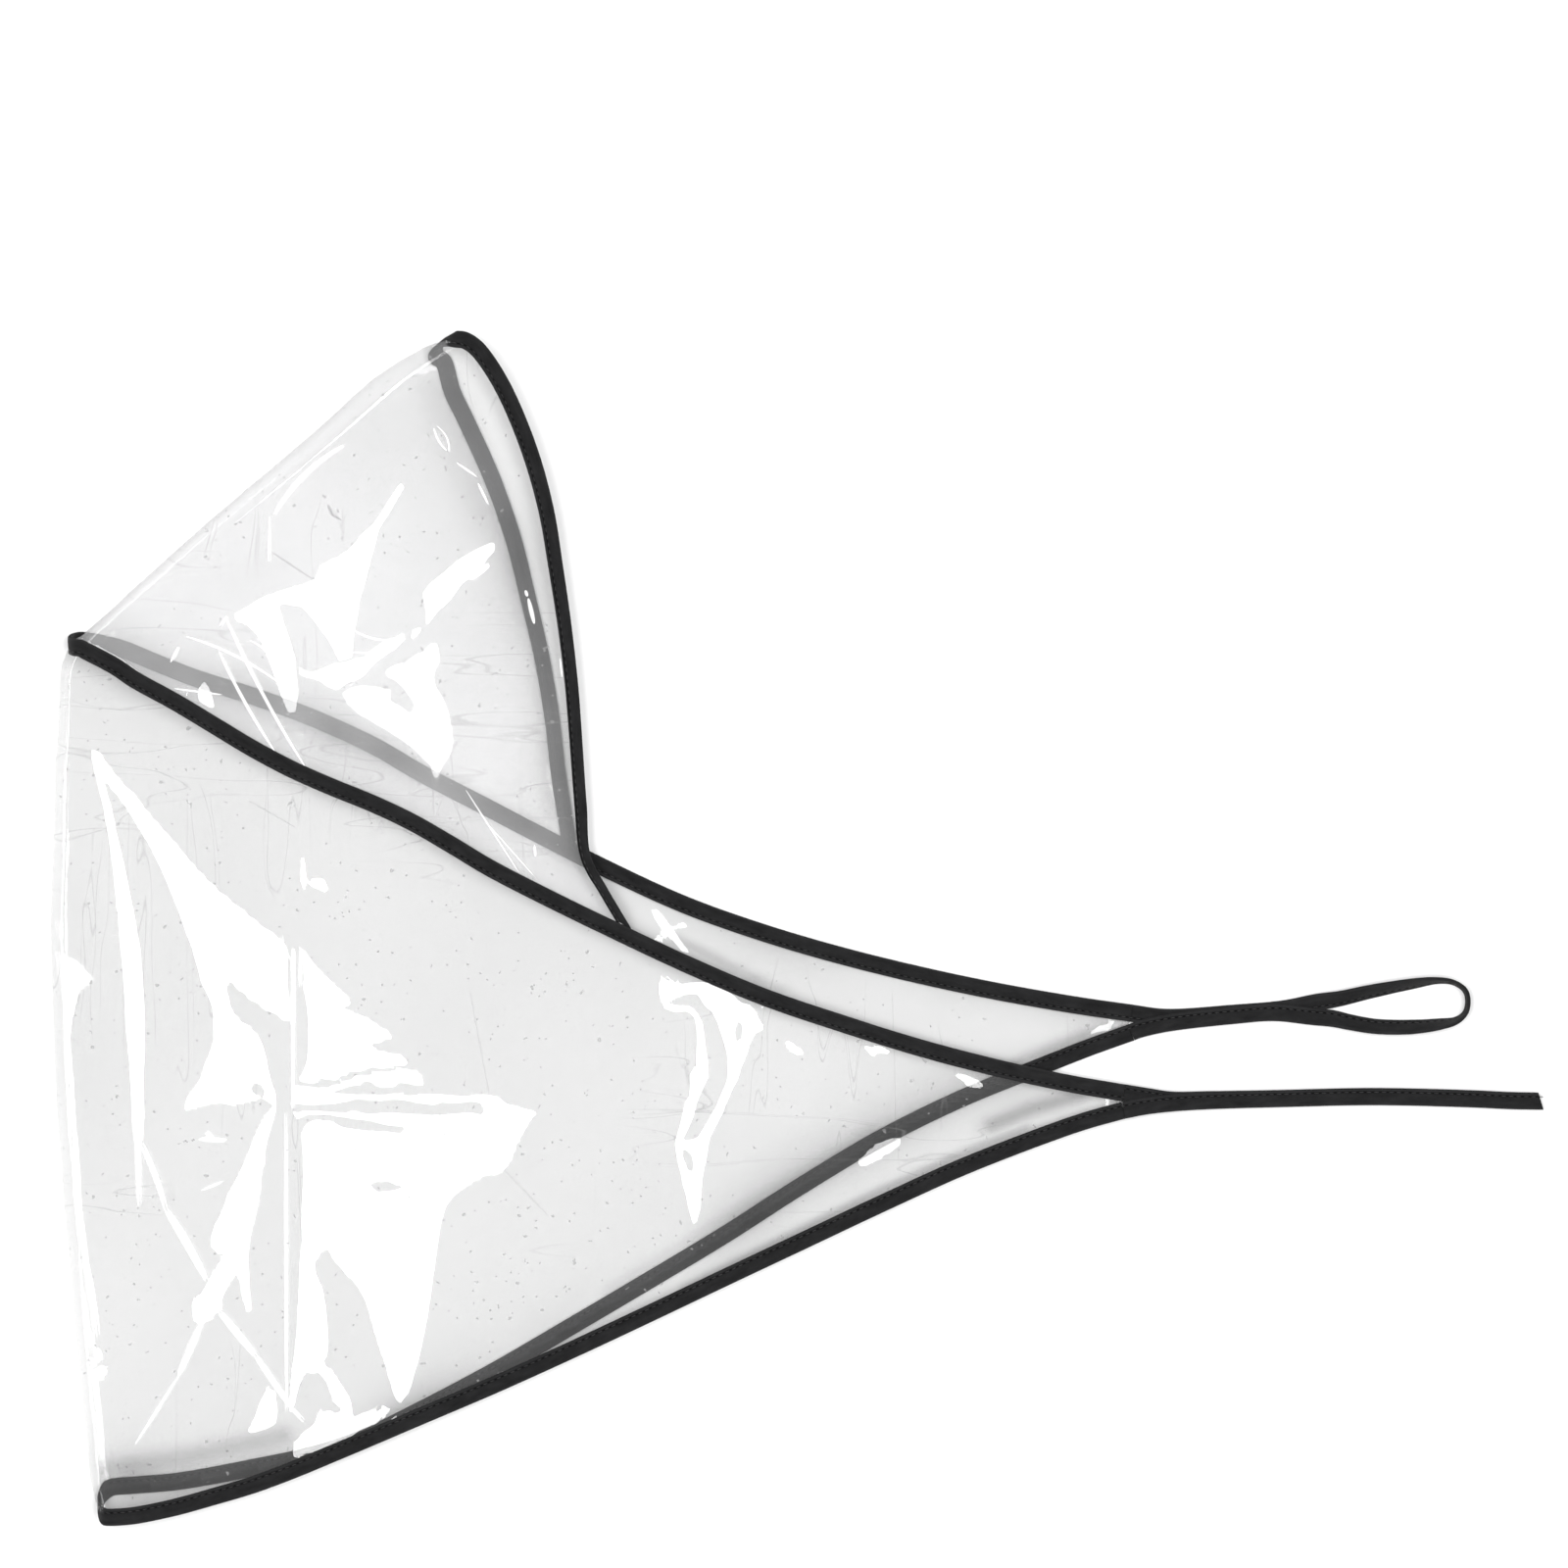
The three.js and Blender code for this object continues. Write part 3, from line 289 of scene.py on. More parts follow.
def spline(points: np.ndarray, steps: int = 16) -> np.ndarray:
    """Draws a centripetal Catmull-Rom curve through points.

    Args:
        points: the points that it passes through
        steps: how many pieces each stretch is divided into

    Returns:
        closely spaced points on the curve
    """
    points = np.asarray(points, float)
    first, last = 2 * points[0] - points[1], 2 * points[-1] - points[-2]
    padded = np.vstack([first, points, last])
    share = np.arange(steps)[:, None] / steps
    drawn = []
    for p0, p1, p2, p3 in zip(padded, padded[1:], padded[2:], padded[3:]):
        d0, d1, d2 = (max(float(np.linalg.norm(b - a)), 1e-6) ** 0.5 for a, b in ((p0, p1), (p1, p2), (p2, p3)))
        t1 = ((p1 - p0) / d0 - (p2 - p0) / (d0 + d1) + (p2 - p1) / d1) * d1
        t2 = ((p2 - p1) / d1 - (p3 - p1) / (d1 + d2) + (p3 - p2) / d2) * d1
        drawn.append(p1 + t1 * share + (3 * (p2 - p1) - 2 * t1 - t2) * share**2
                     + (2 * (p1 - p2) + t1 + t2) * share**3)
    return np.vstack([*drawn, points[-1:]])


def with_levels(rows: Points, levels: Points, by: int = 0) -> np.ndarray:
    """Adds the height to rows of (along, down).

    Args:
        rows: (along, down) in millimetres
        levels: a table of (distance, height)
        by: 0 where the table goes by along, 1 where it goes by down

    Returns:
        rows of (along, down, level)
    """
    flat = np.array(rows, float)
    distance, height = np.array(levels, float).T
    return np.column_stack([flat, np.interp(flat[:, by], distance, height)])


def turn_over(upper: tuple[float, ...], tip: tuple[float, ...], lower: tuple[float, ...]) -> np.ndarray:
    """The half ellipse that an edge follows over the fold, from the upper layer to the lower.

    Args:
        upper: (along, down, level) where the turn starts
        tip: (along, down) of its outermost point
        lower: (along, down, level) where it ends

    Returns:
        points round the turn
    """
    upper, lower = np.array(upper, float), np.array(lower, float)
    middle = (upper + lower) / 2
    reach = np.array([*tip, middle[2]]) - middle
    angles = np.radians(np.linspace(90, -90, 9))[:, None]
    return middle + (upper - middle) * np.sin(angles) + reach * np.cos(angles)


class EdgeLine:
    """A bound edge from its upper end over the fold to its lower end.

    A place on it is a number from 0 to 3: 0 to 1 on the upper layer, 1 to 2 round the fold and 2 to 3 on the
    lower layer, each by its share of the length.
    """

    def __init__(self, upper: np.ndarray, turn: np.ndarray, lower: np.ndarray) -> None:
        """Args:
            upper: points from the upper end to the fold
            turn: points round the fold
            lower: points from the fold to the lower end
        """
        steps = 16
        self.points = spline(np.vstack([upper, turn, lower]), steps)
        marks = [0, len(upper) * steps, (len(upper) + len(turn) - 1) * steps, len(self.points) - 1]
        self.length = run_lengths(self.points)
        self.marks = self.length[marks]
        self.tangents = np.gradient(self.points, self.length, axis=0)

    def arc(self, places: np.ndarray) -> np.ndarray:
        """The lengths along the edge at these places."""
        return np.interp(places, [0, 1, 2, 3], self.marks)

    def places(self, arcs: np.ndarray) -> np.ndarray:
        """The places at these lengths along the edge."""
        return np.interp(arcs, self.marks, [0, 1, 2, 3])

    def at(self, arcs: np.ndarray) -> np.ndarray:
        """The points at these lengths."""
        return np.column_stack([np.interp(arcs, self.length, self.points[:, k]) for k in range(3)])

    def along(self, arcs: np.ndarray) -> np.ndarray:
        """The unit directions at these lengths."""
        found = np.column_stack([np.interp(arcs, self.length, self.tangents[:, k]) for k in range(3)])
        return unit(found)

    def place_at_x(self, x: float, upper: bool) -> float:
        """The place on one layer where the edge is at x."""
        places = np.linspace(0, 1, 1500) if upper else np.linspace(2, 3, 1500)
        return float(places[np.argmin(np.abs(self.at(self.arc(places))[:, 0] - x))])


@dataclass(frozen=True)
class Frames:
    """Frames across an edge, one for each place.

    Args:
        centre: points on the edge
        inward: unit vectors towards the film
        up: unit vectors square to the film
        arc: lengths along the edge
    """

    centre: np.ndarray
    inward: np.ndarray
    up: np.ndarray
    arc: np.ndarray

    def at(self, inward: np.ndarray | float, up: np.ndarray | float = 0.0) -> np.ndarray:
        """Points a given way in from the edge and up from the film."""
        inward, up = np.asarray(inward, float), np.asarray(up, float)
        return self.centre + self.inward * inward[..., None] + self.up * up[..., None]


def frames_on(edge: EdgeLine, places: np.ndarray, opposite: np.ndarray) -> Frames:
    """Frames on an edge that point at given opposite points, and lie along the fold where the edge turns over it.

    Args:
        edge: the edge
        places: places on it
        opposite: one point across the film for each place

    Returns:
        the frames
    """
    arcs = edge.arc(places)
    centre, along = edge.at(arcs), edge.along(arcs)
    straight = unit(opposite - centre)
    inward = unit(straight - along * np.sum(straight * along, axis=1, keepdims=True))
    up = np.cross(along, inward)
    middle = (edge.marks[1] + edge.marks[2]) / 2
    near = np.exp(-(((arcs - middle) / FOLD_GRIP) ** 4))[:, None]
    return Frames(centre, unit(inward * (1 - near) + straight * near), up, arcs)


@dataclass
class Pattern:
    """The bonnet's bound edges, from the tables."""

    front: EdgeLine = field(init=False)
    nape: EdgeLine = field(init=False)
    visor: EdgeLine = field(init=False)

    def __post_init__(self) -> None:
        """Draws the three edges."""
        top = UPPER_LEVELS[0][1]
        low = GROUND
        self.front = EdgeLine(
            with_levels(((7.6, 3.0), *UPPER_FRONT), UPPER_LEVELS)[::-1],
            turn_over((5.5, 1.9, top), (1.7, 0.6), (5.5, -0.9, low)),
            with_levels(LOWER_FRONT, ON_SURFACE),
        )
        self.nape = EdgeLine(
            with_levels(((18.0, 307.0), *UPPER_NAPE), UPPER_LEVELS)[::-1],
            turn_over((15.9, 307.0, top), (12.1, 303.0), (15.9, 297.2, low)),
            with_levels(LOWER_NAPE, ON_SURFACE),
        )
        self.visor = EdgeLine(
            with_levels(((140.2, -106.2), *UPPER_VISOR), VISOR_LEVELS, by=1)[::-1],
            turn_over((138.4, -106.4, 12.8), (130.9, -103.9), (132.5, -99.4, low)),
            with_levels(LOWER_VISOR, ON_SURFACE),
        )

    def front_frames(self, places: np.ndarray) -> Frames:
        """Frames on the front edge, towards the nape."""
        return frames_on(self.front, places, self.nape.at(self.nape.arc(places)))

    def nape_frames(self, places: np.ndarray) -> Frames:
        """Frames on the nape edge, towards the front."""
        return frames_on(self.nape, places, self.front.at(self.front.arc(places)))

    def visor_frames(self, places: np.ndarray) -> Frames:
        """Frames on the visor's edge, towards the seam."""
        return frames_on(self.visor, places, self.front.at(self.seam_arcs(places)))

    @staticmethod
    def visor_shares(points: np.ndarray) -> np.ndarray:
        """How wide the visor's tape looks at points on it, as shares of TAPE_WIDTH."""
        shares = np.interp(points[:, 1], *np.array(VISOR_TAPE_WIDTHS, float).T)
        return np.where(points[:, 2] > 4, shares, 0.5 + shares / 2)

    def seam_arcs(self, places: np.ndarray) -> np.ndarray:
        """Finds what lies across the visor from places on its edge.

        Args:
            places: places on the visor's edge

        Returns:
            lengths along the front edge
        """
        start = self.front.arc(np.array([self.front.place_at_x(197.0, True)]))[0]
        end = self.front.arc(np.array([self.front.place_at_x(180.5, False)]))[0]
        return np.interp(places, [0, 1, 2, 3], [start, self.front.marks[1], self.front.marks[2], end])


def inside_outline(x: np.ndarray, y: np.ndarray, outline: np.ndarray) -> np.ndarray:
    """Tells which points lie inside a closed outline.

    Args:
        x: along, any shape
        y: down, the same shape
        outline: its corners, (along, down)

    Returns:
        an array of True and False
    """
    inside = np.zeros(x.shape, bool)
    for (x0, y0), (x1, y1) in zip(outline, np.roll(outline, -1, axis=0)):
        if y0 == y1:
            continue
        crosses = (y0 > y) != (y1 > y)
        inside ^= crosses & (x < (x1 - x0) * (y - y0) / (y1 - y0) + x0)
    return inside


@dataclass(frozen=True)
class Studio:
    """Where the camera and the two long lamps are, in metres from the middle of the view.

    Args:
        aim: the point below the camera, in the row frame
        distance: how high the camera is
        view_width: how much of the surface the picture shows
        lamp_slope: the sideways slope, run over rise, of rays that reach a lamp
        dark_slope: the steepest sideways slope of rays that pass well clear of the lamps
    """

    aim: tuple[float, float] = (-0.0056, 0.0505)
    distance: float = 4.0
    view_width: float = 0.552
    lamp_slope: float = 0.235
    dark_slope: float = 0.085

    def sideways(self, x: np.ndarray) -> np.ndarray:
        """The sideways slope of the camera's rays to points at x, along in the pattern's frame."""
        return (x - ORIGIN[0] - self.aim[0] / MM) * MM / self.distance


STUDIO = Studio()


def grid_normals(points: np.ndarray) -> np.ndarray:
    """Unit normals of a grid of points, by differences between neighbours."""
    normal = np.cross(np.gradient(points, axis=0), np.gradient(points, axis=1))
    return normal / np.maximum(np.linalg.norm(normal, axis=2, keepdims=True), 1e-9)


@dataclass(frozen=True)
class Creasing:
    """How the creased facets of a layer of film turn what it mirrors.

    Each facet leans so that it mirrors the lamp on its side, and the film between them mirrors neither lamp.

    Args:
        facets: the facets, each over those before it
        cell: how wide the square is that a point's cover is taken over, millimetres
        steepest: how level the film has to be for a lean, as its normal's rise
        fall: the most that the film leans up or down the picture
    """

    facets: tuple[Facet, ...]
    cell: float = 1.15
    steepest: float = 0.12
    fall: float = 0.06

    def cover(self, x: np.ndarray, y: np.ndarray, facet: Facet) -> np.ndarray:
        """Tells how much of the square round each point a facet covers.

        Args:
            x: along, any shape
            y: down, the same shape
            facet: the facet

        Returns:
            shares from 0 to 1
        """
        outline = np.reshape(facet.outline, (-1, 2)) / 10
        low, high = outline.min(0) - self.cell, outline.max(0) + self.cell
        near = (x > low[0]) & (x < high[0]) & (y > low[1]) & (y < high[1])
        total = np.zeros(x.shape)
        offsets = (np.arange(4) - 1.5) / 4 * self.cell
        for dx in offsets:
            for dy in offsets:
                total[near] += inside_outline(x[near] + dx, y[near] + dy, outline)
        return total / offsets.size ** 2

    def marks(self, points: np.ndarray) -> tuple[np.ndarray, np.ndarray]:
        """What the facets add to the film at each point.

        Args:
            points: a grid of points

        Returns:
            lean: what to add to a normal of unit rise, in the row's frame; dull: how scuffed the film is, 0 to 1
        """
        x, y = points[..., 0], points[..., 1]
        normal = grid_normals(points)
        flat = np.abs(normal[..., 2]) > self.steepest
        own, fall = (-normal[..., k] / np.where(flat, normal[..., 2], 1.0) for k in (0, 1))
        far = STUDIO.sideways(x)
        mirrored = np.clip(far - 2 * own, -STUDIO.dark_slope, STUDIO.dark_slope)
        dull = np.zeros(x.shape)
        for facet in self.facets:
            cover = self.cover(x, y, facet)
            mirrored += cover * (facet.lean.value * STUDIO.lamp_slope - mirrored)
            dull += (cover > 0) * (facet.dull - dull)
        level = np.clip(fall, -self.fall, self.fall) - fall
        return np.stack([own - (far - mirrored) / 2, level, np.zeros(x.shape)], axis=-1) * flat[..., None], dull


@dataclass
class Relief:
    """The height that creased facets add to a layer of film.

    Each facet leans so that it mirrors its lamp, and the film between the facets lies as level as it can. The
    heights are worked out on a grid by least squares.

    Args:
        outline: the layer's outline, (along, down), outside which nothing is raised
        creasing: the layer's facets
        pitch: the grid's pitch, millimetres
        hold: how firmly a facet is held to its lean
        joined: how firmly a facet's points hold together across its lean
        loose: how firmly any other points do
        rounds: how often each grid is improved
    """

    outline: np.ndarray
    creasing: Creasing
    pitch: float = 1.15
    hold: float = 40.0
    joined: float = 6.0
    loose: float = 0.25
    rounds: int = 240
    low: np.ndarray = field(init=False)
    heights: np.ndarray = field(init=False)

    def __post_init__(self) -> None:
        """Solves the heights, first on coarse grids."""
        self.low, high = self.outline.min(0) - 4, self.outline.max(0) + 4
        guess = None
        for factor in (4, 2, 1):
            pitch = self.pitch * factor
            shape = tuple(int(n) for n in np.ceil((high - self.low) / pitch) + 1)
            x, y = np.meshgrid(self.low[0] + pitch * np.arange(shape[0]), self.low[1] + pitch * np.arange(shape[1]),
                               indexing="ij")
            start = np.zeros(shape)
            if guess is not None:
                rows, columns = (np.minimum(np.arange(shape[k]) // 2, guess.shape[k] - 1) for k in (0, 1))
                start = guess[np.ix_(rows, columns)]
            guess = self.solved(x, y, pitch, start)
        self.heights = guess

    def solved(self, x: np.ndarray, y: np.ndarray, pitch: float, start: np.ndarray) -> np.ndarray:
        """Solves the heights on one grid by conjugate gradients.

        Args:
            x: along, at the grid's points
            y: down, at the grid's points
            pitch: the grid's pitch
            start: a first guess

        Returns:
            heights at the grid's points, zero outside the outline
        """
        held = inside_outline(x, y, self.outline)
        xm, ym = x[:-1] + pitch / 2, y[:-1]
        far = STUDIO.sideways(xm)
        slope, cover = np.zeros(xm.shape), np.zeros(xm.shape)
        for facet in self.creasing.facets:
            part = self.creasing.cover(xm, ym, facet)
            slope += part * ((far - facet.lean.value * STUDIO.lamp_slope) / 2 - slope)
            cover = np.maximum(cover, part)
        weight_x = 1 + self.hold * cover
        ends = np.vstack([cover, cover[-1:]])
        weight_y = self.loose + self.joined * np.minimum(ends[:, 1:], ends[:, :-1])

        def gather(dx: np.ndarray, dy: np.ndarray) -> np.ndarray:
            """Adds up what the steps along and down pull on each point.

            Args:
                dx: pulls between neighbours along
                dy: pulls between neighbours down

            Returns:
                the pull on each point, zero where nothing is raised
            """
            total = np.zeros(x.shape)
            total[1:] += dx
            total[:-1] -= dx
            total[:, 1:] += dy
            total[:, :-1] -= dy
            return np.where(held, total, 0.0)

        def applied(z: np.ndarray) -> np.ndarray:
            """The pull of heights on each point."""
            return gather(weight_x * (z[1:] - z[:-1]), weight_y * (z[:, 1:] - z[:, :-1])) + 1e-4 * z

        z = np.where(held, start, 0.0)
        rest = gather(weight_x * slope * pitch, np.zeros(weight_y.shape)) - applied(z)
        step = rest.copy()
        power = float(np.sum(rest * rest))
        for _ in range(self.rounds):
            pushed = applied(step)
            share = power / max(float(np.sum(step * pushed)), 1e-12)
            z += share * step
            rest -= share * pushed
            new_power = float(np.sum(rest * rest))
            step = rest + new_power / max(power, 1e-12) * step
            power = new_power
        return z

    def at(self, x: np.ndarray, y: np.ndarray) -> np.ndarray:
        """Reads the height between the grid's points.

        Args:
            x: along, any shape
            y: down, the same shape

        Returns:
            heights in millimetres
        """
        u = np.clip((x - self.low[0]) / self.pitch, 0, self.heights.shape[0] - 1.001)
        v = np.clip((y - self.low[1]) / self.pitch, 0, self.heights.shape[1] - 1.001)
        i, j = u.astype(int), v.astype(int)
        a, b, grid = u - i, v - j, self.heights
        return ((1 - a) * (1 - b) * grid[i, j] + a * (1 - b) * grid[i + 1, j]
                + (1 - a) * b * grid[i, j + 1] + a * b * grid[i + 1, j + 1])


class Finish(Enum):
    """The record's material slots."""

    FILM = "clear_film"
    TAPE = "black_tape"


class Graph:
    """A short way to build a node tree."""

    def __init__(self, tree: bpy.types.NodeTree) -> None:
        """Starts an empty tree."""
        self.tree = tree
        self.tree.nodes.clear()

    def add(self, kind: str, inputs: dict | None = None, **settings: object) -> bpy.types.Node:
        """Adds a node.

        Args:
            kind: its type
            inputs: values or sockets for its inputs, by name or number
            settings: its own properties

        Returns:
            the node
        """
        node = self.tree.nodes.new(kind)
        for key, value in settings.items():
            setattr(node, key, value)
        for key, value in (inputs or {}).items():
            if isinstance(value, Socket):
                self.tree.links.new(value, node.inputs[key])
            else:
                node.inputs[key].default_value = value
        return node

    def out(self, kind: str, inputs: dict | None = None, key: int | str = 0, **settings: object) -> Socket:
        """Adds a node and returns one of its outputs, the first unless key says which."""
        return self.add(kind, inputs, **settings).outputs[key]

    def math(self, operation: str, a: Value, b: Value = 0.0, c: Value = 0.0, clamp: bool = False) -> Socket:
        """A Math node's output, for values or sockets."""
        return self.out("ShaderNodeMath", {0: a, 1: b, 2: c}, operation=operation, use_clamp=clamp)


class Nodes(Graph):
    """A short way to build a material's nodes."""

    def __init__(self, name: str) -> None:
        """Makes an empty material.

        Args:
            name: its name
        """
        self.material = bpy.data.materials.new(name)
        self.material.use_nodes = True
        super().__init__(self.material.node_tree)

    def ramp(self, value: Socket, low: float, high: float, to_low: float, to_high: float) -> Socket:
        """Maps a value from one range to another, held at its ends."""
        inputs = {"Value": value, "From Min": low, "From Max": high, "To Min": to_low, "To Max": to_high}
        return self.out("ShaderNodeMapRange", inputs, clamp=True, key="Result")

    def noise(self, vector: Socket, scale: float, detail: float, rough: float = 0.5) -> Socket:
        """A noise texture's value."""
        inputs = {"Vector": vector, "Scale": scale, "Detail": detail, "Roughness": rough}
        return self.out("ShaderNodeTexNoise", inputs, key="Fac")

    def stretched(self, vector: Socket, scale: tuple[float, float, float], turn: float = 0.0) -> Socket:
        """Coordinates turned about Z and then scaled by a Mapping node."""
        inputs = {"Vector": vector, "Scale": scale, "Rotation": (0.0, 0.0, turn)}
        return self.out("ShaderNodeMapping", inputs, key="Vector")

    def finish(self, shader: Socket) -> bpy.types.Material:
        """Joins a shader to the output and returns the material."""
        self.add("ShaderNodeOutputMaterial", {"Surface": shader})
        return self.material


@dataclass(frozen=True)
class Crease:
    """A sharp crease along a shallow curve, drawn either as a painted white highlight line or as a darker line in the
    film.

    Args:
        start: one end, (along, down) in millimetres
        end: the other end
        bow: how far its middle lies to the left of the straight line, going from start to end
        width: how wide it is in its middle
        strength: how strong it is, from 0 to 1
    """

    start: tuple[float, float]
    end: tuple[float, float]
    bow: float = 0.0
    width: float = 1.0
    strength: float = 0.9


class CreaseMarks:
    """Joins creases into one mask in a material."""

    def __init__(self, nodes: Nodes, place: Socket) -> None:
        """Args:
            nodes: the material's nodes
            place: its object coordinates
        """
        self.nodes = nodes
        self.place = place
        self.group = self.make_group()

    @staticmethod
    def make_group() -> bpy.types.NodeTree:
        """Makes the node group that gives one crease's mask, once.

        Returns:
            the group
        """
        found = bpy.data.node_groups.get("crease_mask")
        if found is not None:
            return found
        group = bpy.data.node_groups.new("crease_mask", "ShaderNodeTree")
        group.interface.new_socket("Place", in_out="INPUT", socket_type="NodeSocketVector")
        for name in ("X", "Y", "Angle", "Half Length", "Bow", "Width", "Strength"):
            group.interface.new_socket(name, in_out="INPUT", socket_type="NodeSocketFloat")
        group.interface.new_socket("Mask", in_out="OUTPUT", socket_type="NodeSocketFloat")
        g = Graph(group)
        given = g.add("NodeGroupInput").outputs
        centre = g.out("ShaderNodeCombineXYZ", {0: given["X"], 1: given["Y"]})
        turned = g.out("ShaderNodeVectorRotate", {"Vector": given["Place"], "Center": centre, "Angle": given["Angle"]},
                       rotation_type="Z_AXIS")
        apart = g.out("ShaderNodeVectorMath", {0: turned, 1: centre}, operation="SUBTRACT")
        split = g.add("ShaderNodeSeparateXYZ", {0: apart}).outputs
        share = g.math("DIVIDE", split[0], given["Half Length"])
        rest = g.math("SUBTRACT", 1.0, g.math("MULTIPLY", share, share), clamp=True)
        offset = g.math("ABSOLUTE", g.math("SUBTRACT", split[1], g.math("MULTIPLY", given["Bow"], rest)))
        half = g.math("MULTIPLY", given["Width"], g.math("MULTIPLY", g.math("POWER", rest, 0.4), 0.5))
        near = g.math("DIVIDE", offset, g.math("MAXIMUM", half, 1e-6))
        soft = g.math("SUBTRACT", 1.6, g.math("MULTIPLY", near, 1.3), clamp=True)
        mask = g.math("MULTIPLY", soft, g.math("GREATER_THAN", rest, 0.001))
        g.add("NodeGroupOutput", {"Mask": g.math("MULTIPLY", mask, given["Strength"])})
        return group

    def joined(self, creases: tuple[Crease, ...]) -> Socket:
        """Finds the strongest of several creases' masks at each point.

        Args:
            creases: the creases

        Returns:
            the joined mask
        """
        total = None
        for crease in creases:
            start, end = (to_row(np.array([*point, 0.0])) for point in (crease.start, crease.end))
            middle, run = (start + end) / 2, end - start
            mask = self.nodes.out("ShaderNodeGroup", {
                "Place": self.place, "X": float(middle[0]), "Y": float(middle[1]),
                "Angle": -math.atan2(run[1], run[0]), "Half Length": float(np.linalg.norm(run)) / 2,
                "Bow": crease.bow * MM, "Width": crease.width * MM, "Strength": crease.strength,
            }, node_tree=self.group)
            total = mask if total is None else self.nodes.math("MAXIMUM", total, mask)
        return total


@dataclass(frozen=True)
class ClearFilm:
    """Glossy clear film with a faint haze, scuffs, dark crease lines, fine scratches, painted highlight lines
    and painted shade.

    It reads the marks that FilmSheet stores on the sheet.

    Args:
        name: the material's name
        haze: how much of each face is hazed, from 0 to 1, at the seam and at the other edge
        creases: white crease lines, painted highlights where the creases would mirror the lamps
        lines: creases that have darkened
        under_tint: what each face lets through where it is the only layer or the lower one
        over_tint: what each face lets through where it lies over another layer
        shade: how much darker the painted shade makes the film beside a lower tape
        ior: the film's index of refraction
        mirror_limit: the most that a face mirrors
        fold_mirror: the share of that which is left in the fold
        roughness: how rough clean and scuffed film is
        ripple: how deep its faint ripples are, metres
        milk: the haze's colour
    """

    name: str
    haze: tuple[float, float]
    creases: tuple[Crease, ...]
    lines: tuple[Crease, ...]
    under_tint: float = 0.824
    over_tint: float = 0.995
    shade: float = 0.07
    ior: float = 1.53
    mirror_limit: float = 0.09
    fold_mirror: float = 0.12
    roughness: tuple[float, float] = (0.03, 0.30)
    ripple: float = 0.00025
    milk: tuple[float, float, float, float] = (0.79, 0.79, 0.795, 1)

    def build(self) -> bpy.types.Material:
        """Makes the material.

        Returns:
            the material
        """
        n = Nodes(self.name)
        place = n.out("ShaderNodeTexCoord", key="Object")
        over, shade, edge, dim, dull, turn = (n.out("ShaderNodeAttribute", attribute_name=key, key="Fac")
                                              for key in ("over", "shade", "edge", "dim", "dull", "turn"))
        ripple = n.noise(n.stretched(place, (18.0, 60.0, 18.0)), 1.0, 2.0)
        fine = n.noise(n.stretched(place, (45.0, 12.0, 20.0), 0.5), 1.0, 1.0)
        bump = n.add("ShaderNodeBump", {"Strength": 1.0, "Distance": self.ripple,
                                        "Height": n.math("ADD", ripple, n.math("MULTIPLY", fine, 0.5)),
                                        "Normal": self.leaning(n)})
        normal = bump.outputs["Normal"]
        cloud = n.noise(place, 25.0, 2.0, 0.6)
        patches = n.noise(n.stretched(place, (14.0, 9.0, 9.0), 0.4), 1.0, 1.0, 0.45)
        tone = n.ramp(over, 0.0, 1.0, self.under_tint, self.over_tint)
        # Painted shade: patchy darkening of the film beside the lower tapes
        tone = n.math("SUBTRACT", tone, n.math("MULTIPLY", shade, n.ramp(patches, 0.35, 0.65, 0.0, 2 * self.shade)))
        # Painted soft shadows from the stored streaks, then a faint random change of tone
        tone = n.math("MULTIPLY", n.math("SUBTRACT", tone, dim), n.ramp(patches, 0.3, 0.7, 0.992, 1.006))
        passed = n.out("ShaderNodeCombineColor", {0: tone, 1: tone, 2: tone})
        scratch_a = self.scratches(n, n.stretched(place, (55.0, 7.0, 10.0), 0.35), place, 11.0)
        scratch_b = self.scratches(n, n.stretched(place, (6.0, 48.0, 10.0), -0.3), place, 8.0)
        speck = n.ramp(n.noise(place, 420.0, 1.0), 0.745, 0.76, 0.0, 0.35)
        mark = n.math("MAXIMUM", n.math("MAXIMUM", scratch_a, scratch_b), speck)
        marks = CreaseMarks(n, place)
        if self.lines:
            mark = n.math("MAXIMUM", mark, marks.joined(self.lines))
        see = n.add("ShaderNodeBsdfTransparent", {"Color": passed})
        milk = n.add("ShaderNodeBsdfDiffuse", {"Color": self.milk})
        # Near-white diffuse for the painted highlight lines along creases
        painted_highlight = n.add("ShaderNodeBsdfDiffuse", {"Color": (0.95, 0.95, 0.95, 1)})
        dirt = n.add("ShaderNodeBsdfDiffuse", {"Color": (0.30, 0.30, 0.30, 1)})
        rough = n.ramp(dull, 0.0, 1.0, *self.roughness)
        gloss = n.add("ShaderNodeBsdfGlossy", {"Color": (1, 1, 1, 1), "Roughness": rough, "Normal": normal})
        level = n.ramp(edge, 0.1, 0.9, *self.haze)
        hazed = n.math("MULTIPLY", level, n.ramp(cloud, 0.35, 0.65, 0.85, 1.15))
        body = n.add("ShaderNodeMixShader", {0: hazed, 1: see.outputs[0], 2: milk.outputs[0]})
        marked = n.add("ShaderNodeMixShader", {0: mark, 1: body.outputs[0], 2: dirt.outputs[0]})
        # Painted highlight lines along creases, where they would mirror the lamps
        if self.creases:
            marked = n.add("ShaderNodeMixShader", {0: marks.joined(self.creases), 1: marked.outputs[0],
                                                   2: painted_highlight.outputs[0]})
        fresnel = n.out("ShaderNodeFresnel", {"IOR": self.ior, "Normal": normal})
        mirror = n.math("MULTIPLY", n.math("MINIMUM", fresnel, self.mirror_limit),
                        n.ramp(turn, 0.0, 1.0, 1.0, self.fold_mirror))
        whole = n.add("ShaderNodeMixShader", {0: mirror, 1: marked.outputs[0], 2: gloss.outputs[0]})
        return n.finish(whole.outputs[0])

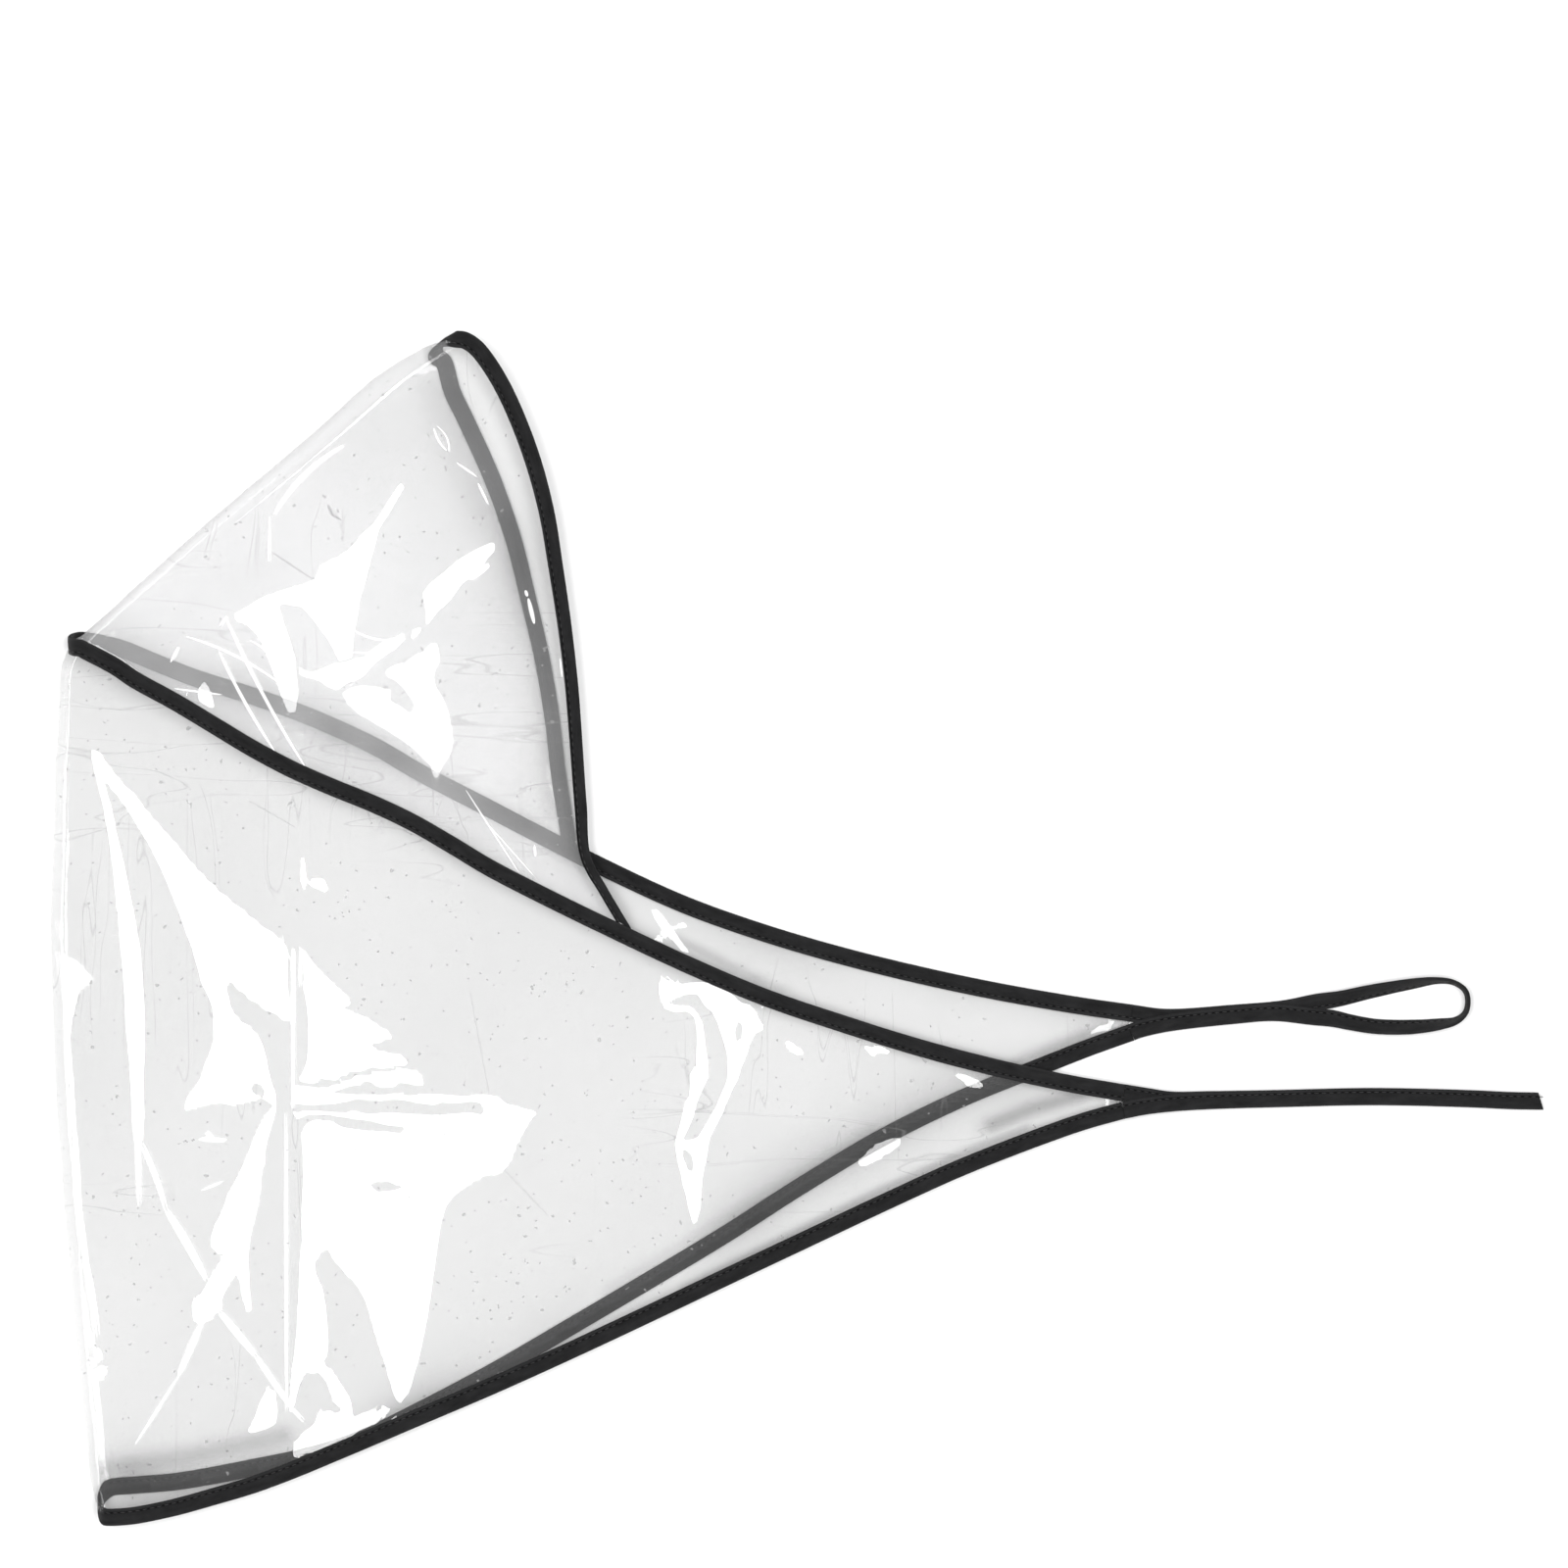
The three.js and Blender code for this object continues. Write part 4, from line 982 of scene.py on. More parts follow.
    @staticmethod
    def leaning(n: Nodes) -> Socket:
        """Turns the surface's normal as the facets lean, on whichever side is seen.

        Args:
            n: the material's nodes

        Returns:
            the normal
        """
        lean = n.out("ShaderNodeAttribute", attribute_name="lean", key="Vector")
        world = n.out("ShaderNodeNewGeometry", key="Normal")
        own = n.out("ShaderNodeVectorTransform", {"Vector": world}, vector_type="NORMAL", convert_from="WORLD",
                    convert_to="OBJECT")
        rise = n.out("ShaderNodeSeparateXYZ", {0: own}, key="Z")
        turn = n.out("ShaderNodeVectorMath", {0: lean, "Scale": rise}, operation="SCALE")
        turned = n.out("ShaderNodeVectorMath", {0: own, 1: turn}, operation="ADD")
        back = n.out("ShaderNodeVectorTransform", {"Vector": turned}, vector_type="NORMAL", convert_from="OBJECT",
                     convert_to="WORLD")
        return n.out("ShaderNodeVectorMath", {0: back}, operation="NORMALIZE")

    @staticmethod
    def scratches(n: Nodes, along: Socket, place: Socket, scale: float) -> Socket:
        """Draws thin broken lines, where a stretched noise passes its middle.

        Args:
            n: the material's nodes
            along: coordinates stretched along the lines
            place: object coordinates
            scale: how close together the patches with lines are

        Returns:
            the lines' mask
        """
        line = n.ramp(n.math("ABSOLUTE", n.math("SUBTRACT", n.noise(along, 1.0, 2.0), 0.5)), 0.0, 0.0035, 1.0, 0.0)
        gate = n.ramp(n.noise(place, scale, 0.0), 0.55, 0.62, 0.0, 0.16)
        return n.math("MULTIPLY", line, gate)


# Visor crease lines painted near-white, as painted highlights where the creases would mirror the lamps
VISOR_HIGHLIGHT_LINES = (
    Crease((98.0, -69.3), (73.5, -44.8), -2.4, 1.37, 0.77),
    Crease((72.1, -44.2), (71.8, -28.3), 0.0, 0.59, 0.59),
    Crease((42.8, -2.1), (75.9, 14.5), 1.7, 0.91, 0.77),
    Crease((56.6, -8.6), (84.5, 43.8), -1.0, 1.14, 0.77),
    Crease((65.2, -0.7), (76.6, 12.8), 2.1, 0.8, 0.77),
    Crease((54.2, 3.1), (73.8, 38.3), -0.7, 1.14, 0.77),
    Crease((54.5, -5.9), (56.9, -9.3), 0.0, 0.68, 0.77),
    Crease((40.0, 1.4), (37.3, 6.9), 0.0, 0.91, 0.77),
    Crease((38.6, 16.2), (55.2, 18.3), 0.0, 0.68, 0.68),
    Crease((101.4, -4.5), (116.3, -1.0), -1.4, 0.91, 0.59),
    Crease((101.4, 3.4), (108.3, 3.8), 0.0, 0.68, 0.51),
    Crease((129.7, -75.2), (134.2, -67.3), -0.7, 0.8, 0.77),
    Crease((130.8, -75.9), (134.9, -66.9), 1.4, 0.57, 0.77),
    Crease((137.7, -63.1), (144.6, -58.3), 0.0, 0.8, 0.77),
    Crease((145.2, -55.9), (148.7, -48.6), 0.0, 0.91, 0.77),
    Crease((161.8, -18.3), (162.5, -16.2), 0.0, 1.14, 0.77),
    Crease((162.8, -15.5), (164.9, -6.6), 0.0, 1.48, 0.77),
    Crease((173.9, 5.5), (174.6, 12.1), 0.0, 0.68, 0.77),
    Crease((164.9, 71.1), (165.3, 75.2), 0.0, 0.91, 0.77),
    Crease((140.8, 51.7), (159.4, 80.7), 0.0, 0.68, 0.42),
    Crease((149.0, 64.2), (164.6, 81.8), 0.0, 0.57, 0.42),
)
VISOR_LINES = (
    Crease((72.8, -31.7), (88.3, -21.4), 0.0, 0.72, 0.17),
    Crease((92.5, -48.3), (94.2, -44.2), 0.0, 0.97, 0.35),
    Crease((94.2, -44.8), (96.9, -43.1), 0.0, 0.72, 0.35),
    Crease((90.7, -51.7), (91.4, -51.1), 0.0, 0.97, 0.4),
    Crease((76.6, -18.3), (83.5, -19.3), 0.0, 0.72, 0.2),
    Crease((124.9, 1.4), (127.3, 5.2), 0.0, 0.72, 0.25),
    Crease((127.3, 5.2), (118.7, 9.7), 0.0, 0.72, 0.17),
)
# Crown crease lines painted near-white, as painted highlights where the creases would mirror the lamps
CROWN_HIGHLIGHT_LINES = (
    Crease((80.0, 107.6), (80.2, 163.5), 0.0, 0.8, 0.75),
    Crease((82.8, 107.8), (82.6, 121.0), 0.0, 0.7, 0.6),
    Crease((77.6, 165.0), (77.8, 270.5), 0.0, 0.8, 0.6),
    Crease((76.2, 103.0), (76.0, 119.0), 0.3, 0.6, 0.5),
    Crease((26.9, 175.9), (35.5, 199.1), 0.6, 1, 0.9),
    Crease((35.5, 199.1), (49.7, 223.9), 0.4, 1.7, 0.95),
    Crease((54.5, 235.3), (66.9, 250.5), 0, 1.6, 0.9),
    Crease((66.9, 250.5), (79.7, 269.1), 0, 1.3, 0.9),
    Crease((79.7, 269.1), (83.8, 273.6), 0, 0.8, 0.6),
    Crease((48.3, 238), (40, 257.4), 0, 2.4, 0.4),
    Crease((40, 257.4), (24.8, 281.5), 0, 1.2, 0.35),
    Crease((47.3, 174.2), (56.6, 174.9), 0, 1.4, 0.45),
    Crease((48.3, 192.2), (55.2, 189.4), 0, 1, 0.4),
    Crease((49.7, 171.8), (51.7, 173.9), 0, 1.2, 0.4),
    Crease((1, 149), (2.8, 177.3), 0, 0.8, 0.45),
    Crease((2.8, 177.3), (6.2, 211.8), 0, 0.8, 0.75),
    Crease((6.2, 211.8), (11.7, 243.6), 0.5, 0.9, 0.8),
    Crease((11, 248.1), (12.4, 252.5), 0, 2, 0.6),
    Crease((10.3, 256.7), (14.5, 254.6), 0, 1, 0.6),
    Crease((25.2, 163.5), (26.2, 198), 0, 1.6, 0.3),
)
CROWN_LINES = (
    Crease((64.5, 55.5), (81.4, 65.2), 0, 0.55, 0.1),
    Crease((81.8, 180.8), (84.2, 222.2), 0, 0.5, 0.12),
    Crease((142.1, 122.1), (149, 159.4), 0, 0.5, 0.07),
    Crease((154.2, 185.3), (169.7, 201.5), 0, 0.5, 0.08),
)


@dataclass(frozen=True)
class WovenTape:
    """Black cotton tape cut on the bias, matt, with its threads at 45 degrees.

    Args:
        name: the material's name
        threads: threads across a tape's width
    """

    name: str = "black_bias_tape"
    threads: float = 16.0

    def build(self) -> bpy.types.Material:
        """Makes the material. Its UV map runs along and across the tape in tape widths.

        Returns:
            the material
        """
        n = Nodes(self.name)
        place = n.add("ShaderNodeTexCoord")
        uv = n.add("ShaderNodeSeparateXYZ", {0: place.outputs["UV"]})
        along, across = uv.outputs[0], uv.outputs[1]
        turns = 2 * math.pi * self.threads / math.sqrt(2)
        warp = n.math("SINE", n.math("MULTIPLY", n.math("ADD", along, across), turns))
        weft = n.math("SINE", n.math("MULTIPLY", n.math("SUBTRACT", along, across), turns))
        weave = n.math("MULTIPLY", warp, weft)
        lint = n.noise(place.outputs["Object"], 900.0, 3.0, 0.7)
        wear = n.noise(place.outputs["Object"], 70.0, 4.0, 0.6)
        beat = n.math("SINE", n.math("MULTIPLY", along, 2 * math.pi * TAPE_WIDTH / STITCH_PITCH))
        off_line = n.math("ABSOLUTE", n.math("SUBTRACT", across, STITCH_PLACE / 2))
        # Painted shade in the stitch groove, deepest at each stitch
        groove_shade = n.math("MULTIPLY", n.ramp(off_line, 0.02, 0.055, 1.0, 0.0), n.ramp(beat, -0.9, 0.6, 0.55, 1.0))
        # Painted highlight on the raised ridge beyond the stitches
        ridge_highlight = n.ramp(n.math("ABSOLUTE", n.math("SUBTRACT", across, 0.40)), 0.02, 0.08, 1.0, 0.0)
        back = n.ramp(n.math("ABSOLUTE", n.math("ADD", across, 0.43)), 0.0, 0.07, 1.0, 0.0)
        # Lighter streaks along the tape: a painted sheen on its woven face
        face = n.ramp(n.noise(n.stretched(place.outputs["UV"], (0.7, 2.2, 1.0)), 1.0, 4.0, 0.65), 0.3, 0.7, 0.0, 1.0)
        tone = n.math("MULTIPLY_ADD", weave, 0.10, n.math("MULTIPLY_ADD", lint, 0.30, n.math("MULTIPLY", wear, 0.25)))
        tone = n.math("MULTIPLY_ADD", face, 0.34, tone)
        # Lighter on the painted ridge highlight and on the worn back edge
        tone = n.math("MULTIPLY_ADD", n.math("MAXIMUM", ridge_highlight, back), 0.22, tone)
        # Darker in the painted shade of the stitch groove
        tone = n.math("SUBTRACT", tone, n.math("MULTIPLY", groove_shade, 0.62))
        colour = n.add("ShaderNodeValToRGB", {0: tone})
        colour.color_ramp.elements[0].position, colour.color_ramp.elements[1].position = 0.05, 1.0
        colour.color_ramp.elements[0].color = (0.0018, 0.0018, 0.002, 1)
        colour.color_ramp.elements[1].color = (0.030, 0.030, 0.031, 1)
        rough = n.ramp(lint, 0.3, 0.7, 0.78, 0.96)
        height = n.math("MULTIPLY_ADD", lint, 0.6, weave)
        bump = n.add("ShaderNodeBump", {"Strength": 0.7, "Distance": 0.00008, "Height": height})
        cloth = n.add("ShaderNodeBsdfPrincipled", {
            "Base Color": colour.outputs[0], "Roughness": rough, "Normal": bump.outputs[0],
            "Specular IOR Level": 0.12, "Sheen Weight": 0.05, "Sheen Roughness": 0.45,
        })
        return n.finish(cloth.outputs[0])


@dataclass(frozen=True)
class Thread:
    """Black sewing thread with a faint gloss."""

    name: str = "black_thread"

    def build(self) -> bpy.types.Material:
        """Makes the material.

        Returns:
            the material
        """
        n = Nodes(self.name)
        place = n.out("ShaderNodeTexCoord", key="Object")
        twist = n.noise(n.stretched(place, (2600.0, 2600.0, 2600.0)), 1.0, 1.0)
        colour = n.add("ShaderNodeValToRGB", {0: twist})
        colour.color_ramp.elements[0].color = (0.004, 0.004, 0.0045, 1)
        colour.color_ramp.elements[1].color = (0.02, 0.02, 0.021, 1)
        rough = n.ramp(twist, 0.3, 0.7, 0.42, 0.6)
        bump = n.add("ShaderNodeBump", {"Strength": 0.6, "Distance": 0.00005, "Height": twist})
        shader = n.add("ShaderNodeBsdfPrincipled", {"Base Color": colour.outputs[0], "Roughness": rough,
                                                    "Normal": bump.outputs[0]})
        return n.finish(shader.outputs[0])


def linked(name: str, data: bpy.types.ID) -> bpy.types.Object:
    """Makes an object and puts it in the scene.

    Args:
        name: its name
        data: its mesh, lamp or camera

    Returns:
        the object
    """
    made = bpy.data.objects.new(name, data)
    bpy.context.scene.collection.objects.link(made)
    return made


def new_piece(name: str, points: np.ndarray, faces: list, material: bpy.types.Material,
              uvs: np.ndarray | None = None, marks: dict[str, np.ndarray] | None = None) -> bpy.types.Object:
    """Makes a smooth closed mesh object at the origin.

    Args:
        name: the piece's name
        points: its corners, in the pattern's frame
        faces: corner numbers of each face
        material: its finish
        uvs: one (u, v) for each corner, if it has a UV map
        marks: attributes to store, one value for each corner

    Returns:
        the object
    """
    mesh = bpy.data.meshes.new(name)
    mesh.from_pydata(to_row(points).tolist(), [], faces)
    for key, values in (marks or {}).items():
        kind, field_name = ("FLOAT_VECTOR", "vector") if values.ndim == 2 else ("FLOAT", "value")
        mesh.attributes.new(key, kind, "POINT").data.foreach_set(field_name, values.astype(np.float32).ravel())
    if uvs is not None:
        layer = mesh.uv_layers.new(name="tape_map")
        corners = np.zeros(len(mesh.loops), int)
        mesh.loops.foreach_get("vertex_index", corners)
        layer.data.foreach_set("uv", uvs[corners].astype(np.float32).ravel())
    build = bmesh.new()
    build.from_mesh(mesh)
    bmesh.ops.remove_doubles(build, verts=build.verts, dist=1e-7)
    bmesh.ops.recalc_face_normals(build, faces=build.faces)
    build.to_mesh(mesh)
    build.free()
    mesh.polygons.foreach_set("use_smooth", [True] * len(mesh.polygons))
    mesh.materials.append(material)
    return linked(name, mesh)


def grid_faces(rows: int, columns: int, first: int = 0, flip: bool = False) -> list:
    """Lists the faces between the points of a grid that is stored row by row.

    Args:
        rows: how many rows it has
        columns: how many points each row has
        first: the number of its first point
        flip: whether the faces look the other way

    Returns:
        corner numbers of each face
    """
    i, j = np.meshgrid(np.arange(rows - 1), np.arange(columns - 1), indexing="ij")
    a = (first + i * columns + j).ravel()
    quads = np.column_stack([a, a + 1, a + columns + 1, a + columns])
    return (quads[:, ::-1] if flip else quads).tolist()


def film_shell(name: str, middle: np.ndarray, material: bpy.types.Material,
               marks: dict[str, np.ndarray]) -> bpy.types.Object:
    """A thin closed sheet round a grid of points.

    Args:
        name: the piece's name
        middle: points through the middle of the film, one row for each place and one column for each step across
        material: its finish
        marks: attributes to store, one value for each point of the grid

    Returns:
        the sheet
    """
    rows, columns = middle.shape[:2]
    normal = grid_normals(middle)
    points = np.concatenate([(middle + normal * FILM / 2).reshape(-1, 3), (middle - normal * FILM / 2).reshape(-1, 3)])
    count = rows * columns
    faces = grid_faces(rows, columns) + grid_faces(rows, columns, count, True)
    top = np.arange(count).reshape(rows, columns)
    rim = np.concatenate([top[0, :], top[1:, -1], top[-1, -2::-1], top[-2:0:-1, 0]])
    after = np.roll(rim, -1)
    faces += np.column_stack([rim, rim + count, after + count, after]).tolist()
    both = {key: np.concatenate([values.reshape(count, *values.shape[2:])] * 2) for key, values in marks.items()}
    return new_piece(name, points, faces, material, marks=both)


def spaced_places(edge: EdgeLine, start: float, end: float,
                  spacing: Callable[[np.ndarray, np.ndarray], np.ndarray]) -> np.ndarray:
    """Places from start to end, as far apart as spacing says.

    Args:
        edge: the edge
        start: first place
        end: last place
        spacing: gives the gap in millimetres for arrays of (place, x)

    Returns:
        the places
    """
    places = np.linspace(start, end, 6000)
    arcs = edge.arc(places)
    gaps = spacing(places, edge.at(arcs)[:, 0])
    count = np.concatenate([[0.0], np.cumsum(np.diff(arcs) / ((gaps[1:] + gaps[:-1]) / 2))])
    steps = int(round(count[-1]))
    return np.interp(np.linspace(0, count[-1], steps + 1), count, places)


def upper_share(places: np.ndarray) -> np.ndarray:
    """1 on the upper layer, 0 on the lower, and between them round the fold."""
    return eased(2.0 - places, 0, 1)


def nearest(x: np.ndarray, y: np.ndarray, line: np.ndarray) -> np.ndarray:
    """The distance from points to a line of points, on the surface.

    Args:
        x: along, any shape
        y: down, the same shape
        line: (along, down) of points on the line

    Returns:
        distances in millimetres
    """
    flat = np.column_stack([x.ravel(), y.ravel()])
    found = np.full(len(flat), np.inf)
    for a, b in zip(line[:-1], line[1:]):
        run = b - a
        share = np.clip((flat - a) @ run / max(float(run @ run), 1e-9), 0, 1)
        found = np.minimum(found, np.linalg.norm(flat - a - share[:, None] * run, axis=1))
    return found.reshape(x.shape)


class Layer(Enum):
    """Which layer of a folded sheet."""

    UPPER = 0
    LOWER = 1


@dataclass(frozen=True)
class PaintedShadow:
    """A soft painted shadow in a layer of film: a darker streak where it stands off the surface below it.

    Args:
        layer: the layer
        line: its middle line, millimetres along and down
        reach: how far it spreads, millimetres
        depth: how much darker the film is in its middle
    """

    layer: Layer
    line: tuple[tuple[float, float], ...]
    reach: float
    depth: float


# Painted soft shadows: layer, middle line, reach and depth of each
PAINTED_SHADOWS = (
    PaintedShadow(Layer.UPPER, ((325, 169.7), (338.8, 164.2), (357.8, 158.7)), 3, 0.2),
    PaintedShadow(Layer.UPPER, ((218, 227), (252.5, 209.4), (287, 192.2), (321.5, 176.6), (338.8, 170.1)), 1.8, 0.12),
    PaintedShadow(Layer.UPPER, ((95.6, 31.4), (114.5, 40), (138.7, 51.7), (162.8, 64.2), (183.5, 78.7)), 3, 0.11),
    PaintedShadow(Layer.UPPER, ((157.7, -38.3), (164.6, -5.5), (168.4, 29), (170.4, 60)), 3.2, 0.04),
    PaintedShadow(Layer.UPPER, ((130.4, -88.3), (138.7, -64.2), (146.3, -46.9)), 7, 0.05),
    PaintedShadow(Layer.UPPER, ((45.5, -15.9), (55.9, -19.3), (71.4, -27.9)), 9, 0.02),
    PaintedShadow(Layer.LOWER, ((337.1, 147), (350.9, 141.4), (364.7, 135.2)), 2.4, 0.14),
    PaintedShadow(Layer.LOWER, ((214.6, 104.2), (224.9, 109), (235.3, 114.5), (249.1, 121.4)), 2, 0.11),
    PaintedShadow(Layer.UPPER, ((190.4, 227.7), (218, 211.1), (252.5, 190.1), (283.6, 171.8)), 2.4, 0.07),
    PaintedShadow(Layer.UPPER, ((14.5, 290.1), (45.5, 285.3), (76.6, 278.4)), 3.6, 0.14),
)


@dataclass(frozen=True)
class Rims:
    """Where a sheet's two long edges lie, one point for each place.

    Args:
        seam: in the seam's tape
        seam_mouth: where the film leaves that tape
        edge_mouth: where the film enters the tape along its other edge
        edge: in that tape
    """

    seam: np.ndarray
    seam_mouth: np.ndarray
    edge_mouth: np.ndarray
    edge: np.ndarray


@dataclass(frozen=True)
class Outlines:
    """Outlines in a folded sheet, (along, down).

    Args:
        upper: the creased part of the upper layer
        lower: the creased part of the lower layer, if any
        under: the film that lies under the upper layer
    """

    upper: np.ndarray
    lower: np.ndarray | None
    under: np.ndarray


@dataclass
class FilmSheet(ABC):
    """A folded sheet of clear film between two bound edges.

    Args:
        pattern: the bonnet's edges
        name: the piece's name
        flat: the cut sheet's length and depth, metres; not used
        area: its area, square metres; not used
        rows_across: how many steps go from one edge to the other
        upper_facets: creased facets of the upper layer
        lower_facets: creased facets of the lower layer
        fold: the fold's outline, (along, down)
        fold_fade: how far from the fold that outline shifts the film, millimetres
        rise: how far the upper layer stands up in its middle, millimetres
        tip_gap: how much film there is at the sheet's tips, between the tapes, millimetres
        upper_gaps: (along, gap between lines of points) on the upper layer, millimetres
        lower_gaps: the same on the lower layer
        fold_gap: the gap round the fold
    """

    pattern: Pattern
    name: str
    flat: tuple[float, float]
    area: float
    rows_across: int
    upper_facets: tuple[Facet, ...]
    lower_facets: tuple[Facet, ...]
    fold: Points
    fold_fade: float
    rise: float
    tip_gap: float
    upper_gaps: Points
    lower_gaps: Points
    fold_gap: float = 0.7

    @abstractmethod
    def swell(self, sheet: np.ndarray, upper: np.ndarray, bell: np.ndarray, rims: Rims) -> np.ndarray:
        """How far the film stands up between its edges, millimetres."""

    @abstractmethod
    def outlines(self) -> Outlines:
        """The sheet's outlines."""

    @abstractmethod
    def middle(self) -> tuple[np.ndarray, dict[str, np.ndarray]]:
        """The points through the middle of the laid sheet, and their marks."""

    def spacing(self, places: np.ndarray, x: np.ndarray) -> np.ndarray:
        """Gives the gap between lines of points.

        Args:
            places: places along the sheet
            x: along, at those places

        Returns:
            gaps in millimetres
        """
        upper, lower = (np.interp(x, *np.array(gaps, float).T) for gaps in (self.upper_gaps, self.lower_gaps))
        return np.where(places <= 1, upper, np.where(places < 2, self.fold_gap, lower))

    def places_on(self, edge: EdgeLine, opposite: Callable[[np.ndarray], np.ndarray]) -> np.ndarray:
        """Finds places along the sheet, from its upper tip over the fold to its lower tip.

        Args:
            edge: the edge that they are on
            opposite: gives the points across the film from places

        Returns:
            the places
        """
        search = np.linspace(0, 3, 3000)
        apart = np.linalg.norm(edge.at(edge.arc(search)) - opposite(search), axis=1)
        found = search[apart > TAPE_WIDTH + self.tip_gap]
        return spaced_places(edge, float(found[0]), float(found[-1]), self.spacing)

    def lay_on_fold(self, sheet: np.ndarray, places: np.ndarray) -> None:
        """Moves a sheet sideways so that its fold has the outline read from above.

        Args:
            sheet: its points, changed in place
            places: the place of each row of points
        """
        line = np.array(self.fold, float)
        length = run_lengths(line)
        share = np.linspace(0, 1, sheet.shape[1])
        wanted = np.column_stack([np.interp(share * length[-1], length, line[:, k]) for k in range(2)])
        tip = sheet[int(np.argmin(np.abs(places - 1.5))), :, :2].copy()
        gone = np.linalg.norm(sheet[..., :2] - tip[None], axis=2)
        sheet[..., :2] += (wanted - tip)[None] * (np.maximum(0, 1 - gone / self.fold_fade) ** 2)[..., None]

    def marks(self, sheet: np.ndarray, places: np.ndarray, under: np.ndarray) -> dict[str, np.ndarray]:
        """Works out what the film's finish has to know at each point.

        Args:
            sheet: the sheet's points
            places: the place of each row
            under: the outline of the film under the upper layer

        Returns:
            over: 1 where the upper layer lies over other film; shade: how near a lower tape is, for its painted shade;
            edge: how far across the sheet the point is, from the seam; dim: how much darker its painted soft
                shadows make it; turn: 1 in the fold; lean and dull: see Creasing.marks
        """
        x, y = sheet[..., 0], sheet[..., 1]
        ones = np.ones(x.shape)
        top, bottom = (places <= 1)[:, None], (places >= 2)[:, None]
        over = np.where(top, inside_outline(x, y, under).astype(float), upper_share(places)[:, None] * ones)
        gap = np.full(x.shape, 1e3)
        for line in (LOWER_FRONT, LOWER_NAPE, LOWER_VISOR):
            gap = np.minimum(gap, nearest(x, y, np.array(line, float)))
        # Painted shade beside the lower tapes, fading with the distance from them
        shade = np.exp(-np.maximum(gap - TAPE_HALF, 0) / PAINTED_SHADE_REACH)
        # Painted soft shadows along the listed streaks
        dim = np.zeros(x.shape)
        for tone in PAINTED_SHADOWS:
            rows = top if tone.layer is Layer.UPPER else bottom
            gap = nearest(x, y, np.array(tone.line, float))
            dim = np.maximum(dim, rows * tone.depth * np.exp(-((gap / tone.reach) ** 2)))
        lean, dull = Creasing(self.upper_facets).marks(sheet)
        low_lean, low_dull = Creasing(self.lower_facets).marks(sheet)
        return {
            "over": over, "shade": shade, "edge": np.linspace(0, 1, x.shape[1]) * ones, "dim": dim,
            "turn": ((places > 1) & (places < 2))[:, None] * ones,
            "lean": np.where(bottom[..., None], low_lean, lean), "dull": dull * top + low_dull * bottom,
        }

    def laid(self, places: np.ndarray, rims: Rims, shares: np.ndarray) -> tuple[np.ndarray, dict[str, np.ndarray]]:
        """Lays the sheet between its tapes, with its swell, the outline of its fold and its creases.

        Args:
            places: the place of each row of points
            rims: its edges
            shares: shares of the way from the seam to the other edge

        Returns:
            the points through the middle of the film, and their marks
        """
        across = shares[None, :, None]
        sheet = rims.seam_mouth[:, None] * (1 - across) + rims.edge_mouth[:, None] * across
        bell = np.sin(np.pi * across[..., 0])
        upper = upper_share(places)[:, None]
        sheet[..., 2] += self.swell(sheet, upper, bell, rims)
        self.lay_on_fold(sheet, places)
        x, y, outlines = sheet[..., 0], sheet[..., 1], self.outlines()
        raised = Relief(outlines.upper, Creasing(self.upper_facets)).at(x, y) * (places <= 1)[:, None]
        if outlines.lower is not None:
            puffs = Relief(outlines.lower, Creasing(self.lower_facets)).at(x, y)
            raised += np.abs(puffs) * (places >= 2)[:, None]
        sag = np.minimum(1, 2.2 * bell) * (1 - upper) * (GROUND - LOWER_LEVEL)
        sheet[..., 2] = np.maximum(sheet[..., 2] + raised - sag, LOWEST_FILM)
        points = np.concatenate([rims.seam[:, None], sheet, rims.edge[:, None]], axis=1)
        return points, self.marks(points, places, outlines.under)


